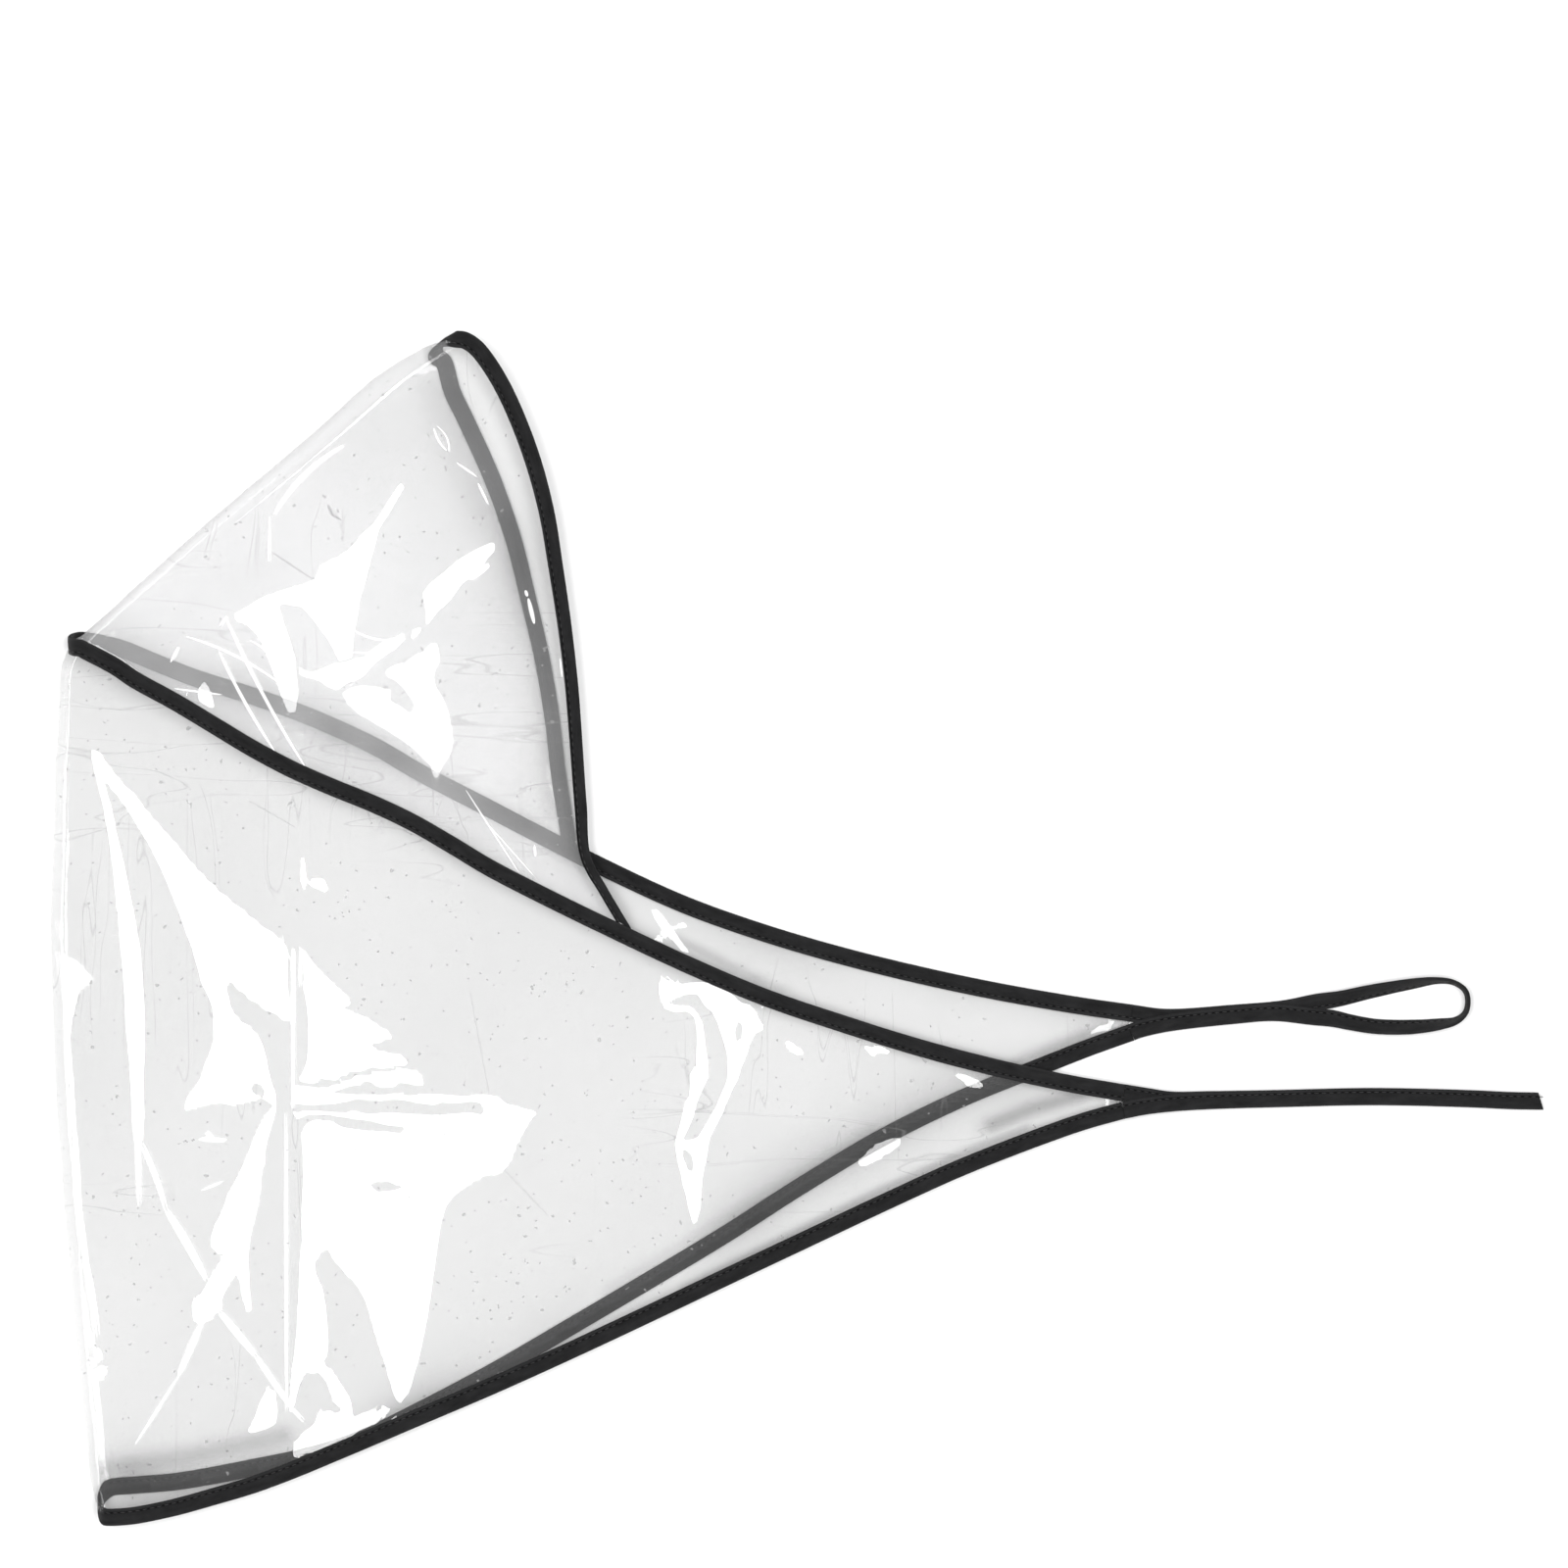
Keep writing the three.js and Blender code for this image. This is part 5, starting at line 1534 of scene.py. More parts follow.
@dataclass
class CrownFilm(FilmSheet):
    """The crown's one sheet of clear film, folded over its middle.

    Args:
        swell_end: how far along the upper layer's swell goes, millimetres
    """

    name: str = "crown_film"
    flat: tuple[float, float] = (0.84, 0.307)
    area: float = 0.121
    rows_across: int = 145
    upper_facets: tuple[Facet, ...] = CROWN_FACETS
    lower_facets: tuple[Facet, ...] = LOWER_FACETS
    fold: Points = CROWN_FOLD
    fold_fade: float = 95.0
    rise: float = 5.0
    tip_gap: float = 0.6
    upper_gaps: Points = ((0, 1.05), (128, 1.12), (136, 1.8), (164, 1.8), (172, 3.4), (196, 3.4), (204, 1.25),
                          (248, 1.25), (258, 4.0), (390, 4.5))
    lower_gaps: Points = ((0, 8), (195, 8), (205, 1.7), (225, 1.7), (235, 8), (390, 8))
    swell_end: float = 347.0

    def shares(self) -> np.ndarray:
        """Finds shares of the way from the seam to the nape, closer together where ripples cross the film.

        Returns:
            the shares
        """
        even = np.linspace(0, 1, 2000)
        density = 1 + 1.7 * np.exp(-(((even - 0.535) / 0.05) ** 4))
        count = np.concatenate([[0.0], np.cumsum((density[1:] + density[:-1]) / 2)])
        return np.interp(np.linspace(0, count[-1], self.rows_across + 1), count, even)

    def swell(self, sheet: np.ndarray, upper: np.ndarray, bell: np.ndarray, rims: Rims) -> np.ndarray:
        """How far the film stands up between its edges, less and less towards the tip."""
        return upper * (self.rise * bell * np.maximum(0, 1 - sheet[..., 0] / self.swell_end) ** 1.5)

    def outlines(self) -> Outlines:
        """Draws the crown's outlines.

        Returns:
            the outlines
        """
        front, nape = np.array(UPPER_FRONT) + (0, UPPER_MARGIN), np.array(UPPER_NAPE) - (0, UPPER_MARGIN)
        low_front, low_nape = np.array(LOWER_FRONT), np.array(LOWER_NAPE)
        return Outlines(
            np.vstack([front[::-1], CROWN_CREASED_END, nape]),
            np.vstack([low_front[::-1] + (0, LOWER_MARGIN), low_nape - (0, LOWER_MARGIN)]),
            np.vstack([[(-30, 2)], low_front, low_nape[::-1], [(-30, 296)]]),
        )

    def middle(self) -> tuple[np.ndarray, dict[str, np.ndarray]]:
        """Lays the crown's sheet.

        Returns:
            the points through its middle, and their marks
        """
        pattern = self.pattern
        places = self.places_on(pattern.front, lambda found: pattern.nape.at(pattern.nape.arc(found)))
        full = np.ones(len(places))
        front, nape = pattern.front_frames(places), pattern.nape_frames(places)
        rims = Rims(front.at((SEAM_SLOT + SLOT_PLAY) * full), front.at(TAPE_HALF * full),
                    nape.at(TAPE_HALF * full), nape.at((EDGE_SLOT + SLOT_PLAY) * full))
        return self.laid(places, rims, self.shares())


@dataclass
class VisorFilm(FilmSheet):
    """The visor's one sheet of clear film, folded over its middle and sewn to the crown's front edge.

    Args:
        full_depth: how deep the visor is where it swells in full, millimetres
    """

    name: str = "visor_film"
    flat: tuple[float, float] = (0.44, 0.168)
    area: float = 0.0363
    rows_across: int = 150
    upper_facets: tuple[Facet, ...] = VISOR_FACETS
    lower_facets: tuple[Facet, ...] = ()
    fold: Points = VISOR_FOLD
    fold_fade: float = 60.0
    rise: float = 2.4
    tip_gap: float = 1.5
    upper_gaps: Points = ((0, 0.95),)
    lower_gaps: Points = ((0, 6.0),)
    full_depth: float = 100.0

    def swell(self, sheet: np.ndarray, upper: np.ndarray, bell: np.ndarray, rims: Rims) -> np.ndarray:
        """How far the film stands up between its edges, less where the visor is narrow."""
        depth = np.linalg.norm(rims.edge_mouth - rims.seam_mouth, axis=1)
        return upper * np.minimum(1, depth / self.full_depth)[:, None] ** 2 * self.rise * bell

    def outlines(self) -> Outlines:
        """Draws the visor's outlines. Its lower layer has no creases.

        Returns:
            the outlines
        """
        fold = np.array(VISOR_FOLD)[::-2] + (1.0, 1.2)
        seam = np.array(UPPER_FRONT)[:17] - (0, UPPER_MARGIN)
        crown = np.array([row for row in LOWER_FRONT if row[0] > 160])
        return Outlines(
            np.vstack([seam, np.array(UPPER_VISOR)[::-1] - (LOWER_MARGIN, 0), fold]),
            None,
            np.vstack([np.array(LOWER_VISOR), [(177.0, 72.5)], crown,
                       [(380, 200), (-30, 200), (-40, -20), (100, -130), (131, -101)]]),
        )

    def middle(self) -> tuple[np.ndarray, dict[str, np.ndarray]]:
        """Lays the visor's sheet.

        Returns:
            the points through its middle, and their marks
        """
        pattern = self.pattern
        places = self.places_on(pattern.visor, lambda found: pattern.front.at(pattern.seam_arcs(found)))
        seam = pattern.front_frames(pattern.front.places(pattern.seam_arcs(places)))
        edge = pattern.visor_frames(places)
        full, shares = np.ones(len(places)), pattern.visor_shares(edge.centre)
        rims = Rims(seam.at(-SLOT_PLAY * 2 * full), seam.at(-TAPE_HALF * full),
                    edge.at(TAPE_HALF * shares), edge.at(EDGE_SLOT * shares + SLOT_PLAY))
        return self.laid(places, rims, np.linspace(0, 1, self.rows_across + 1))


# Half of a folded tape's section, from the mouth to the outer fold: share of the half width, share of the
# half depth. The dip at 0.5 is where it is sewn.
TAPE_PROFILE = (
    (1.0, 0.45), (0.96, 0.78), (0.84, 0.9), (0.68, 0.84), (0.52, 0.6), (0.36, 0.82), (0.1, 0.94), (-0.3, 1.0),
    (-0.66, 1.0), (-0.88, 0.86), (-0.98, 0.5),
)
STITCH_PLACE = 0.52  # share of the half width
STITCH_DIP = 0.6  # share of the half depth
STITCH_PITCH = 2.6


def smooth_noise(arcs: np.ndarray, wave: float, seed: int) -> np.ndarray:
    """A smooth random curve between -1 and 1 along a length.

    Args:
        arcs: lengths in millimetres
        wave: about how far apart its peaks are
        seed: which curve

    Returns:
        one value for each length
    """
    draw = np.random.default_rng(seed)
    total = np.zeros(arcs.shape)
    for share, factor in ((1.0, 1.0), (0.5, 2.3), (0.25, 4.9)):
        total += share * np.sin(2 * np.pi * (arcs * factor / wave + draw.random()))
    return total / 1.75


@dataclass
class TapeRun:
    """A folded tape swept along frames.

    Args:
        name: the piece's name
        frames: frames along it
        widths: its width at each frame
        depth: its thickness
        inner_slot: how far the slot at its mouth reaches, or None where it holds nothing
        outer_slot: how open the slot at its back is at each frame, from 0 to 1, or None
        joins: lengths along it where two tapes are joined on the slant
        end_slant: how far its last end leans, over its width
        pucker: how much each stitch pinches the tape, as a share of its thickness
        lump: how uneven its thickness is, as a share
        join_rise: how much a join thickens it, as a share
        join_reach: how wide a join is, millimetres
    """

    name: str
    frames: Frames
    widths: np.ndarray
    depth: float = TAPE_DEPTH
    inner_slot: float | None = EDGE_SLOT
    outer_slot: np.ndarray | None = None
    joins: tuple[float, ...] = ()
    end_slant: float = 0.0
    pucker: float = 0.12
    lump: float = 0.05
    join_rise: float = 0.16
    join_reach: float = 0.7

    def rings(self) -> tuple[np.ndarray, np.ndarray]:
        """Draws the tape's section at each frame.

        Returns:
            the points of each ring, and how far across the tape each is
        """
        arcs = self.frames.arc[:, None]
        half = self.widths[:, None] / 2
        a_share, b_share = np.array(TAPE_PROFILE).T[:, None, :]
        a = a_share * half
        beside = np.exp(-(((a_share - STITCH_PLACE) / 0.16) ** 2))
        pucker = 1 + self.pucker * np.cos(2 * np.pi * arcs / STITCH_PITCH) * beside
        lump = 1 + self.lump * smooth_noise(arcs, 17.0, 5)
        for join in self.joins:
            lump = lump + self.join_rise * np.exp(-(((arcs - join - a) / self.join_reach) ** 2))
        b = b_share * self.depth / 2 * pucker * lump
        gap = np.full_like(half, SLOT_GAP / 2)
        parts_a, parts_b = [a], [b]
        if self.outer_slot is not None:
            open_share = self.outer_slot[:, None]
            back = -half * 0.99
            parts_a += [back, back + (half - SEAM_SLOT) * open_share]
            parts_b += [gap * open_share, gap * open_share]
            parts_a += [parts_a[-1], back]
            parts_b += [-gap * open_share, -gap * open_share]
        parts_a.append(a[:, ::-1])
        parts_b.append(-b[:, ::-1])
        if self.inner_slot is not None:
            floor = self.inner_slot * self.widths[:, None] / TAPE_WIDTH
            parts_a += [half, floor, floor, half]
            parts_b += [-gap, -gap, gap, gap]
        across, up = np.concatenate(parts_a, axis=1), np.concatenate(parts_b, axis=1)
        frames = self.frames
        rings = frames.centre[:, None] + frames.inward[:, None] * across[..., None] + frames.up[:, None] * up[..., None]
        if self.end_slant:
            last = frames.centre[-1] - frames.centre[-2]
            lean = eased(arcs, arcs[-1] - 4, arcs[-1]) * across / TAPE_WIDTH * -self.end_slant
            rings += lean[..., None] * last / np.linalg.norm(last)
        return rings, across

    def build(self, material: bpy.types.Material) -> bpy.types.Object:
        """Makes the tape.

        Args:
            material: its finish

        Returns:
            the tape
        """
        rings, across = self.rings()
        rows, columns = rings.shape[:2]
        faces = []
        for quad in grid_faces(rows, columns + 1):
            faces.append([(k // (columns + 1)) * columns + (k % (columns + 1)) % columns for k in quad])
        faces.append(list(range(columns)))
        faces.append([(rows - 1) * columns + k for k in range(columns)][::-1])
        u = np.repeat(self.frames.arc[:, None] / TAPE_WIDTH, columns, axis=1)
        uvs = np.stack([u, across / TAPE_WIDTH], axis=2).reshape(-1, 2)
        return new_piece(self.name, rings.reshape(-1, 3), faces, material, uvs)

    def stitch_line(self, side: float) -> np.ndarray:
        """The line that the stitches follow on one face of the tape."""
        lift = side * (STITCH_DIP * self.depth / 2 + 0.06)
        return self.frames.at(self.widths / 2 * STITCH_PLACE, np.full(len(self.widths), lift))


class StitchTree:
    """A Geometry Nodes tree that lays stitches along a line."""

    def __init__(self) -> None:
        """Builds the tree and keeps the identifiers of its inputs."""
        self.tree = bpy.data.node_groups.new("sewn_stitches", "GeometryNodeTree")
        face = self.tree.interface
        face.new_socket("Line", in_out="INPUT", socket_type="NodeSocketGeometry")
        self.sockets = {}
        for name, kind, value in (("Pitch", "NodeSocketFloat", 0.0026), ("Stitch Length", "NodeSocketFloat", 0.0019),
                                  ("Thread Radius", "NodeSocketFloat", 0.00017), ("Slant", "NodeSocketFloat", 0.06),
                                  ("Seed", "NodeSocketInt", 3), ("Thread", "NodeSocketMaterial", None)):
            socket = face.new_socket(name, in_out="INPUT", socket_type=kind)
            if value is not None:
                socket.default_value = value
            self.sockets[name] = socket.identifier
        face.new_socket("Stitches", in_out="OUTPUT", socket_type="NodeSocketGeometry")
        self.wire()

    def wire(self) -> None:
        """Adds the nodes and their links."""
        g = Graph(self.tree)
        given = g.add("NodeGroupInput").outputs
        curve = g.out("GeometryNodeMeshToCurve", {"Mesh": given["Line"]}, key="Curve")
        spaced = g.out("GeometryNodeResampleCurve", {"Curve": curve, "Length": given["Pitch"]},
                       mode="LENGTH", key="Curve")
        ball = g.out("GeometryNodeMeshUVSphere", {"Segments": 6, "Rings": 4, "Radius": 1.0}, key="Mesh")
        half, radius = g.math("MULTIPLY", given["Stitch Length"], 0.5), given["Thread Radius"]
        size = g.out("ShaderNodeCombineXYZ", {0: half, 1: radius, 2: radius})
        shaped = g.out("GeometryNodeTransform", {"Geometry": ball, "Scale": size}, key="Geometry")
        tangent = g.out("GeometryNodeInputTangent")
        turn = g.out("FunctionNodeAlignRotationToVector", {"Vector": tangent}, axis="X", key="Rotation")
        jitter = g.add("FunctionNodeRandomValue", {"Seed": given["Seed"]}, data_type="FLOAT")
        low, high = [socket for socket in jitter.inputs if socket.type == "VALUE" and socket.enabled][:2]
        self.tree.links.new(g.math("MULTIPLY", given["Slant"], -1.0), low)
        self.tree.links.new(given["Slant"], high)
        drawn = next(socket for socket in jitter.outputs if socket.enabled)
        tilt = g.out("ShaderNodeCombineXYZ", {2: drawn})
        skew = g.out("FunctionNodeRotateRotation", {"Rotation": turn, "Rotate By": tilt},
                     rotation_space="LOCAL", key="Rotation")
        laid = g.add("GeometryNodeInstanceOnPoints", {"Points": spaced, "Instance": shaped, "Rotation": skew})
        real = g.out("GeometryNodeRealizeInstances", {"Geometry": laid.outputs["Instances"]}, key="Geometry")
        paint = g.add("GeometryNodeSetMaterial", {"Geometry": real, "Material": given["Thread"]})
        g.add("NodeGroupOutput", {"Stitches": paint.outputs["Geometry"]})

    def sew(self, name: str, lines: list[np.ndarray], thread: bpy.types.Material, **sizes: float) -> bpy.types.Object:
        """Lays stitches along lines and returns them as a plain mesh.

        Args:
            name: the piece's name
            lines: lines of points, in the pattern's frame
            thread: the stitches' finish
            sizes: values for the tree's inputs, by name with spaces as underscores

        Returns:
            the stitches
        """
        points, edges, start = [], [], 0
        for line in lines:
            points.append(to_row(line))
            edges += [(start + k, start + k + 1) for k in range(len(line) - 1)]
            start += len(line)
        mesh = bpy.data.meshes.new(name + "_line")
        mesh.from_pydata(np.vstack(points).tolist(), edges, [])
        carrier = linked(name + "_line", mesh)
        modifier = carrier.modifiers.new("stitches", "NODES")
        modifier.node_group = self.tree
        modifier[self.sockets["Thread"]] = thread
        for key, value in sizes.items():
            modifier[self.sockets[key.replace("_", " ")]] = value
        graph = bpy.context.evaluated_depsgraph_get()
        made = bpy.data.meshes.new_from_object(carrier.evaluated_get(graph))
        made.name = name
        carrier.modifiers.remove(modifier)
        bpy.data.objects.remove(carrier)
        made.polygons.foreach_set("use_smooth", [True] * len(made.polygons))
        return linked(name, made)


def eased(x: np.ndarray, low: float, high: float) -> np.ndarray:
    """Goes smoothly from 0 at low to 1 at high."""
    share = np.clip((np.asarray(x, float) - low) / (high - low), 0, 1)
    return share * share * (3 - 2 * share)


def ribbon_frames(rows: Points, depth: float, step: float = 0.8) -> Frames:
    """Frames along a free tape that lies on the surface or leans on one edge.

    The tape's sewn edge is on the left of its run, as seen in the picture, and its roll lifts the other edge.

    Args:
        rows: (along, down, roll in degrees, lift) along it
        depth: the tape's thickness
        step: the gap between frames

    Returns:
        the frames
    """
    table = np.array(rows, float)
    steps = 12
    drawn = spline(table[:, :2], steps)
    length = run_lengths(drawn)
    arcs = np.linspace(0, length[-1], int(length[-1] / step) + 1)
    marks = length[::steps]
    fine = np.linspace(0, length[-1], 1200)
    kernel = np.hanning(41) / np.hanning(41).sum()
    roll, lift = (np.convolve(np.pad(np.interp(fine, marks, table[:, k]), 20, mode="edge"), kernel, "valid")
                  for k in (2, 3))
    roll, lift = np.radians(np.interp(arcs, fine, roll)), np.interp(arcs, fine, lift)
    level = TAPE_HALF * np.sin(roll) + depth / 2 * np.cos(roll) + lift
    centre = np.column_stack([np.interp(arcs, length, drawn[:, 0]), np.interp(arcs, length, drawn[:, 1]), level])
    along = unit(np.gradient(centre, arcs, axis=0))
    left = unit(np.column_stack([along[:, 1], -along[:, 0], np.zeros(len(arcs))]))
    inward = left * np.cos(roll)[:, None] - np.array([0, 0, 1.0]) * np.sin(roll)[:, None]
    inward = unit(inward - along * np.sum(inward * along, axis=1, keepdims=True))
    return Frames(centre, inward, np.cross(along, inward), arcs)


def lengthened(frames: Frames, before: tuple[float, float], after: tuple[float, float], step: float = 0.8) -> Frames:
    """Adds straight ends to frames.

    Args:
        frames: the frames
        before: how far the first end is lengthened and how far it rises
        after: the same for the last end
        step: the gap between the new frames

    Returns:
        the longer frames
    """
    parts = {"centre": [], "inward": [], "up": [], "arc": []}
    for end, (reach, rise), sign in ((0, before, -1), (-1, after, 1)):
        count = int(reach / step)
        run = (frames.centre[1] - frames.centre[0]) if end == 0 else (frames.centre[-1] - frames.centre[-2])
        run = run * (1, 1, 0) / np.linalg.norm(run[:2])
        shares = np.linspace(0, 1, count + 1)[1:]
        centre = frames.centre[end] + sign * run * (shares * reach)[:, None]
        centre[:, 2] += rise * eased(shares, 0, 0.8)
        rows = (centre, np.tile(frames.inward[end], (count, 1)), np.tile(frames.up[end], (count, 1)),
                frames.arc[end] + sign * shares * reach)
        for key, made in zip(parts, rows):
            parts[key].append(made[::-1] if end == 0 else made)
    return Frames(*[np.concatenate([first, getattr(frames, key), last]) for key, (first, last) in parts.items()])


@dataclass
class BoundEdges:
    """The three tapes that bind the film's edges.

    Args:
        pattern: the bonnet's edges
        step: the gap between a tape's rings, millimetres
        seam_joins: along, where the seam's tape is joined on the slant
    """

    pattern: Pattern
    step: float = 0.8
    seam_joins: tuple[float, ...] = (359.3, 245.0)

    def stations(self, edge: EdgeLine) -> np.ndarray:
        """Evenly spaced places from one end of an edge to the other."""
        arcs = np.linspace(0, edge.marks[3], int(edge.marks[3] / self.step) + 1)
        return edge.places(arcs)

    def seam(self) -> TapeRun:
        """Lays the tape along the front edge, which also holds the visor.

        Returns:
            the tape
        """
        places = self.stations(self.pattern.front)
        frames = self.pattern.front_frames(places)
        start, end = self.pattern.seam_arcs(np.array([0.0, 3.0]))
        open_share = eased(frames.arc, start - 4, start + 4) * (1 - eased(frames.arc, end - 4, end + 4))
        joins = tuple(self.pattern.front.arc(np.array([self.pattern.front.place_at_x(x, True)]))[0]
                      for x in self.seam_joins)
        return TapeRun("seam_tape", frames, np.full(len(places), TAPE_WIDTH), inner_slot=SEAM_SLOT,
                       outer_slot=open_share, joins=joins)

    def nape(self) -> TapeRun:
        """The tape along the nape edge."""
        places = self.stations(self.pattern.nape)
        return TapeRun("nape_tape", self.pattern.nape_frames(places), np.full(len(places), TAPE_WIDTH))

    def visor(self) -> TapeRun:
        """Lays the tape along the visor's free edge, with its ends at the seam.

        Returns:
            the tape
        """
        pattern = self.pattern
        frames = lengthened(pattern.visor_frames(self.stations(pattern.visor)), (5.6, -1.75), (8.8, 1.7))
        widths = TAPE_WIDTH * pattern.visor_shares(frames.centre)
        return TapeRun("visor_tape", frames, widths)


PLAIN_FRONT = (
    (372.0, 158.3), (380.0, 159.6), (388.8, 160.9), (402.0, 160.8), (426.8, 160.4), (460.0, 159.7),
    (495.0, 160.5), (507.8, 161.1), (517.6, 161.3),
)
PLAIN_NAPE = (
    (372.0, 164.4), (380.0, 162.9), (388.8, 161.9), (402.0, 161.1), (426.8, 160.4), (460.0, 159.7),
    (495.0, 160.5), (507.8, 161.1), (518.9, 161.3),
)
PLAIN_LEVELS = ((372, 4.2), (387, 3.3), (402, 2.1), (418, 1.25), (520, 1.25))
LOOP_RUN = (
    (374.8, 137.1, 0, 0.95), (377.0, 136.2, 0, 1.05), (387.0, 133.9, 0, 1.1), (411.0, 131.1, 0, 1.1),
    (424.9, 130.1, 0, 1.1), (438.6, 131.5, 8, 0.8), (446.2, 132.3, 20, 0.3), (451.6, 133.5, 30, 0),
    (460.9, 135.0, 35, 0), (473.0, 135.2, 39, 0), (483.3, 134.2, 56, 0), (489.2, 132.8, 75, 0),
    (492.3, 130.0, 83, 0), (493.1, 125.5, 85, 0), (492.0, 122.1, 83, 0), (488.1, 119.5, 81, 0),
    (482.7, 118.8, 75, 0), (473.0, 120.0, 56, 0), (459.2, 122.6, 42, 0), (447.9, 125.2, 30, 0),
    (440.3, 126.4, 14, 0), (428.3, 128.8, 0, 0), (411.1, 130.3, 0, 0), (387.0, 131.8, 0, 0.1),
    (374.8, 130.3, 0, 0.2),
)


@dataclass
class PlainTie:
    """Two folded tapes sewn one on the other, with a cut end.

    Args:
        depth: the thickness of each
        apart: how far each lies above or below the middle of the two
        slant: how far the cut end leans, millimetres over the tape's width
    """

    depth: float = 1.4
    apart: float = 0.62
    slant: float = 2.0

    def strand(self, name: str, rows: Points, side: int) -> TapeRun:
        """One of the two tapes.

        Args:
            name: the strand's name
            rows: its middle line
            side: 1 for the one on top, -1 for the one below

        Returns:
            the tape
        """
        flat = np.array(rows, float)
        level = np.interp(flat[:, 0], *np.array(PLAIN_LEVELS, float).T) + side * self.apart
        table = np.column_stack([flat, np.zeros(len(flat)), level - self.depth / 2])
        frames = ribbon_frames(tuple(map(tuple, table)), self.depth)
        return TapeRun(name, frames, np.full(len(frames.arc), TAPE_WIDTH), self.depth, None, end_slant=self.slant)

    def strands(self) -> list[TapeRun]:
        """Both tapes."""
        return [self.strand("plain_tie_under", PLAIN_FRONT, -1), self.strand("plain_tie_over", PLAIN_NAPE, 1)]


@dataclass
class LoopTie:
    """One folded tape that leaves the nape edge, opens into a loop and comes back to the front edge.

    Args:
        depth: its thickness
    """

    depth: float = 1.3

    def strand(self) -> TapeRun:
        """The tape."""
        frames = ribbon_frames(LOOP_RUN, self.depth)
        return TapeRun("loop_tie_tape", frames, np.full(len(frames.arc), TAPE_WIDTH), self.depth, None)


@dataclass
class Dressing:
    """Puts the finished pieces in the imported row.

    Args:
        pattern: the bonnet's edges
    """

    pattern: Pattern

    @staticmethod
    def place(piece: bpy.types.Object, nodes: tuple[str, ...], finish: Finish) -> bpy.types.Object:
        """Hides the CAD nodes that a piece replaces and attaches it to the root body.

        Args:
            piece: the piece
            nodes: the CAD nodes that it replaces
            finish: its material slot; not used

        Returns:
            the piece
        """
        if nodes:
            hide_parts(*nodes)
        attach(piece, "root")
        LOG.info("%s: %d faces", piece.name, len(piece.data.polygons))
        return piece

    def films(self) -> list[bpy.types.Object]:
        """Makes the crown's and the visor's sheets.

        Returns:
            the pieces
        """
        crown_finish = ClearFilm("crown_clear_film", CROWN_HAZE, CROWN_HIGHLIGHT_LINES, CROWN_LINES)
        visor_finish = ClearFilm("visor_clear_film", VISOR_HAZE, VISOR_HIGHLIGHT_LINES, VISOR_LINES, under_tint=0.87,
                                 over_tint=0.915)
        made = []
        for sheet, node, finish in ((CrownFilm(self.pattern), "crown_panel", crown_finish),
                                    (VisorFilm(self.pattern), "visor_panel", visor_finish)):
            points, marks = sheet.middle()
            piece = film_shell(sheet.name, points, finish.build(), marks)
            piece.visible_shadow = False
            piece.visible_diffuse = False
            made.append(self.place(piece, (node,), Finish.FILM))
        return made

    def tapes(self) -> list[bpy.types.Object]:
        """Makes the tapes and the stitches on them.

        Returns:
            the pieces
        """
        cloth, thread = WovenTape().build(), Thread().build()
        tree = StitchTree()
        edges = BoundEdges(self.pattern)
        groups = (
            ("seam", "seam_binding", [edges.seam()]),
            ("nape", "nape_binding", [edges.nape()]),
            ("visor", "visor_binding", [edges.visor()]),
            ("plain_tie", "plain_tie", PlainTie().strands()),
            ("loop_tie", "loop_tie", [LoopTie().strand()]),
        )
        made = []
        for seed, (name, node, runs) in enumerate(groups):
            for number, run in enumerate(runs):
                made.append(self.place(run.build(cloth), (node,) if number == 0 else (), Finish.TAPE))
            lines = [run.stitch_line(side) for run in runs for side in (1, -1)]
            stitches = tree.sew(name + "_stitches", lines, thread, Pitch=STITCH_PITCH * MM, Seed=seed + 3)
            made.append(self.place(stitches, (), Finish.TAPE))
        return made


CROWN_HAZE = (0.022, 0.022)
VISOR_HAZE = (0.2, 0.08)


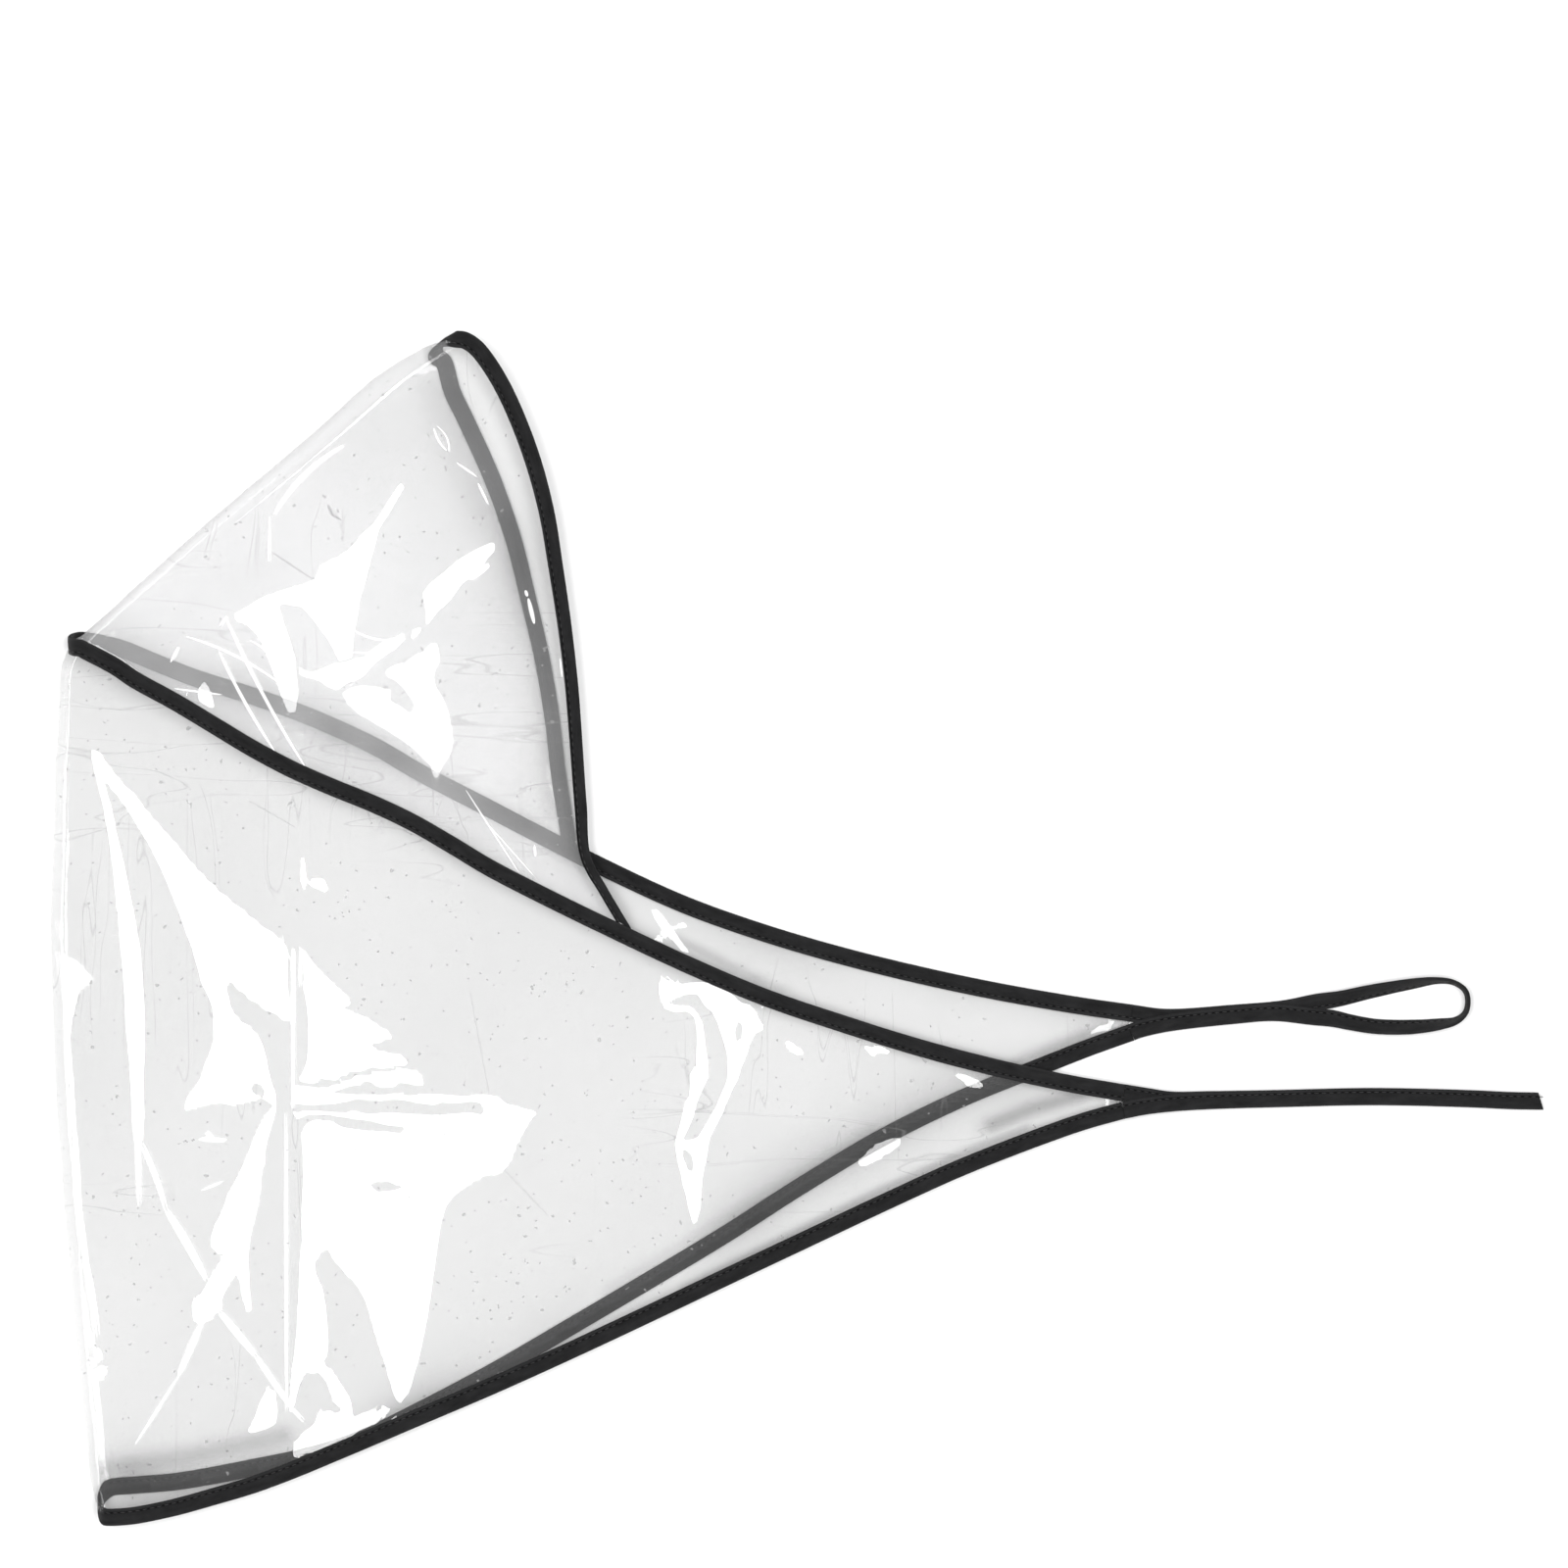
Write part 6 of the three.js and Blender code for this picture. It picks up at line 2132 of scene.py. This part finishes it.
@dataclass(frozen=True)
class Lights:
    """The pale floor, the soft light and the two long lamps.

    Args:
        lamp_height: how high the long lamps hang, metres
        lamp_near: the distance of a lamp's near side from the middle, metres
        lamp_far: the distance of its far side
        lamp_length: how long it is
        lamp_power: how much it gives, watts
        sky: how bright the room is overhead
        horizon: how bright it is near the surface
        floor_tone: the floor's colour
        floor_half: half the floor's width, metres
        floor_level: how high it lies, metres
    """

    lamp_height: float = 9.0
    lamp_near: float = 1.08
    lamp_far: float = 4.5
    lamp_length: float = 6.4
    lamp_power: float = 556.0
    sky: float = 0.4
    horizon: float = 0.99
    floor_tone: float = 0.9
    floor_half: float = 12.0
    floor_level: float = -0.0002

    def floor(self) -> bpy.types.Object:
        """Makes a large pale plane just under the bonnet.

        Returns:
            the plane
        """
        mesh = bpy.data.meshes.new("floor")
        corners = [(x * self.floor_half, y * self.floor_half, self.floor_level)
                   for x, y in ((-1, -1), (1, -1), (1, 1), (-1, 1))]
        mesh.from_pydata(corners, [], [(0, 1, 2, 3)])
        nodes, tone = Nodes("pale_floor"), self.floor_tone
        pale = nodes.add("ShaderNodeBsdfDiffuse", {"Color": (tone, tone, tone, 1)})
        mesh.materials.append(nodes.finish(pale.outputs[0]))
        plane = linked("floor", mesh)
        return plane

    def lamps(self) -> None:
        """The two long lamps, one on each side."""
        for side in (-1, 1):
            lamp = bpy.data.lights.new(f"long_lamp_{'left' if side < 0 else 'right'}", "AREA")
            lamp.shape = "RECTANGLE"
            lamp.size, lamp.size_y = self.lamp_far - self.lamp_near, self.lamp_length
            lamp.energy = self.lamp_power
            holder = linked(lamp.name, lamp)
            holder.location = (side * (self.lamp_near + self.lamp_far) / 2 + STUDIO.aim[0], STUDIO.aim[1],
                               self.lamp_height)

    def room(self) -> None:
        """The pale room."""
        world = bpy.data.worlds.new("pale_room")
        world.use_nodes = True
        tree = world.node_tree
        back = tree.nodes["Background"]
        back.inputs["Color"].default_value = (1.0, 1.0, 1.0, 1)
        way, split = tree.nodes.new("ShaderNodeTexCoord"), tree.nodes.new("ShaderNodeSeparateXYZ")
        rise = tree.nodes.new("ShaderNodeMapRange")
        tree.links.new(way.outputs["Generated"], split.inputs[0])
        tree.links.new(split.outputs[2], rise.inputs["Value"])
        tree.links.new(rise.outputs["Result"], back.inputs["Strength"])
        for key, value in (("From Min", 0.05), ("From Max", 0.45), ("To Min", self.horizon), ("To Max", self.sky)):
            rise.inputs[key].default_value = value
        bpy.context.scene.world = world

    def camera(self) -> None:
        """The camera straight above the bonnet."""
        lens = bpy.data.cameras.new("camera")
        lens.lens = lens.sensor_width * STUDIO.distance / STUDIO.view_width
        lens.clip_start, lens.clip_end = 0.05, 60.0
        scene = bpy.context.scene
        scene.camera = linked("camera", lens)
        scene.camera.location = (*STUDIO.aim, STUDIO.distance)
        scene.view_settings.view_transform = "Standard"
        scene.cycles.transparent_max_bounces = 16
        scene.cycles.max_bounces = 8
        scene.cycles.glossy_bounces = 3

    def set_up(self) -> None:
        """Sets up all of it."""
        self.floor()
        self.lamps()
        self.room()
        self.camera()


def main() -> None:
    """Builds the pieces in order and sets up the studio."""
    logging.basicConfig(level=logging.INFO, format="%(name)s: %(message)s")
    LOG.info("studio")
    Lights().set_up()
    dressing = Dressing(Pattern())
    LOG.info("films")
    dressing.films()
    LOG.info("tapes")
    dressing.tapes()
    bpy.context.view_layer.update()


if __name__ == "__main__":
    main()
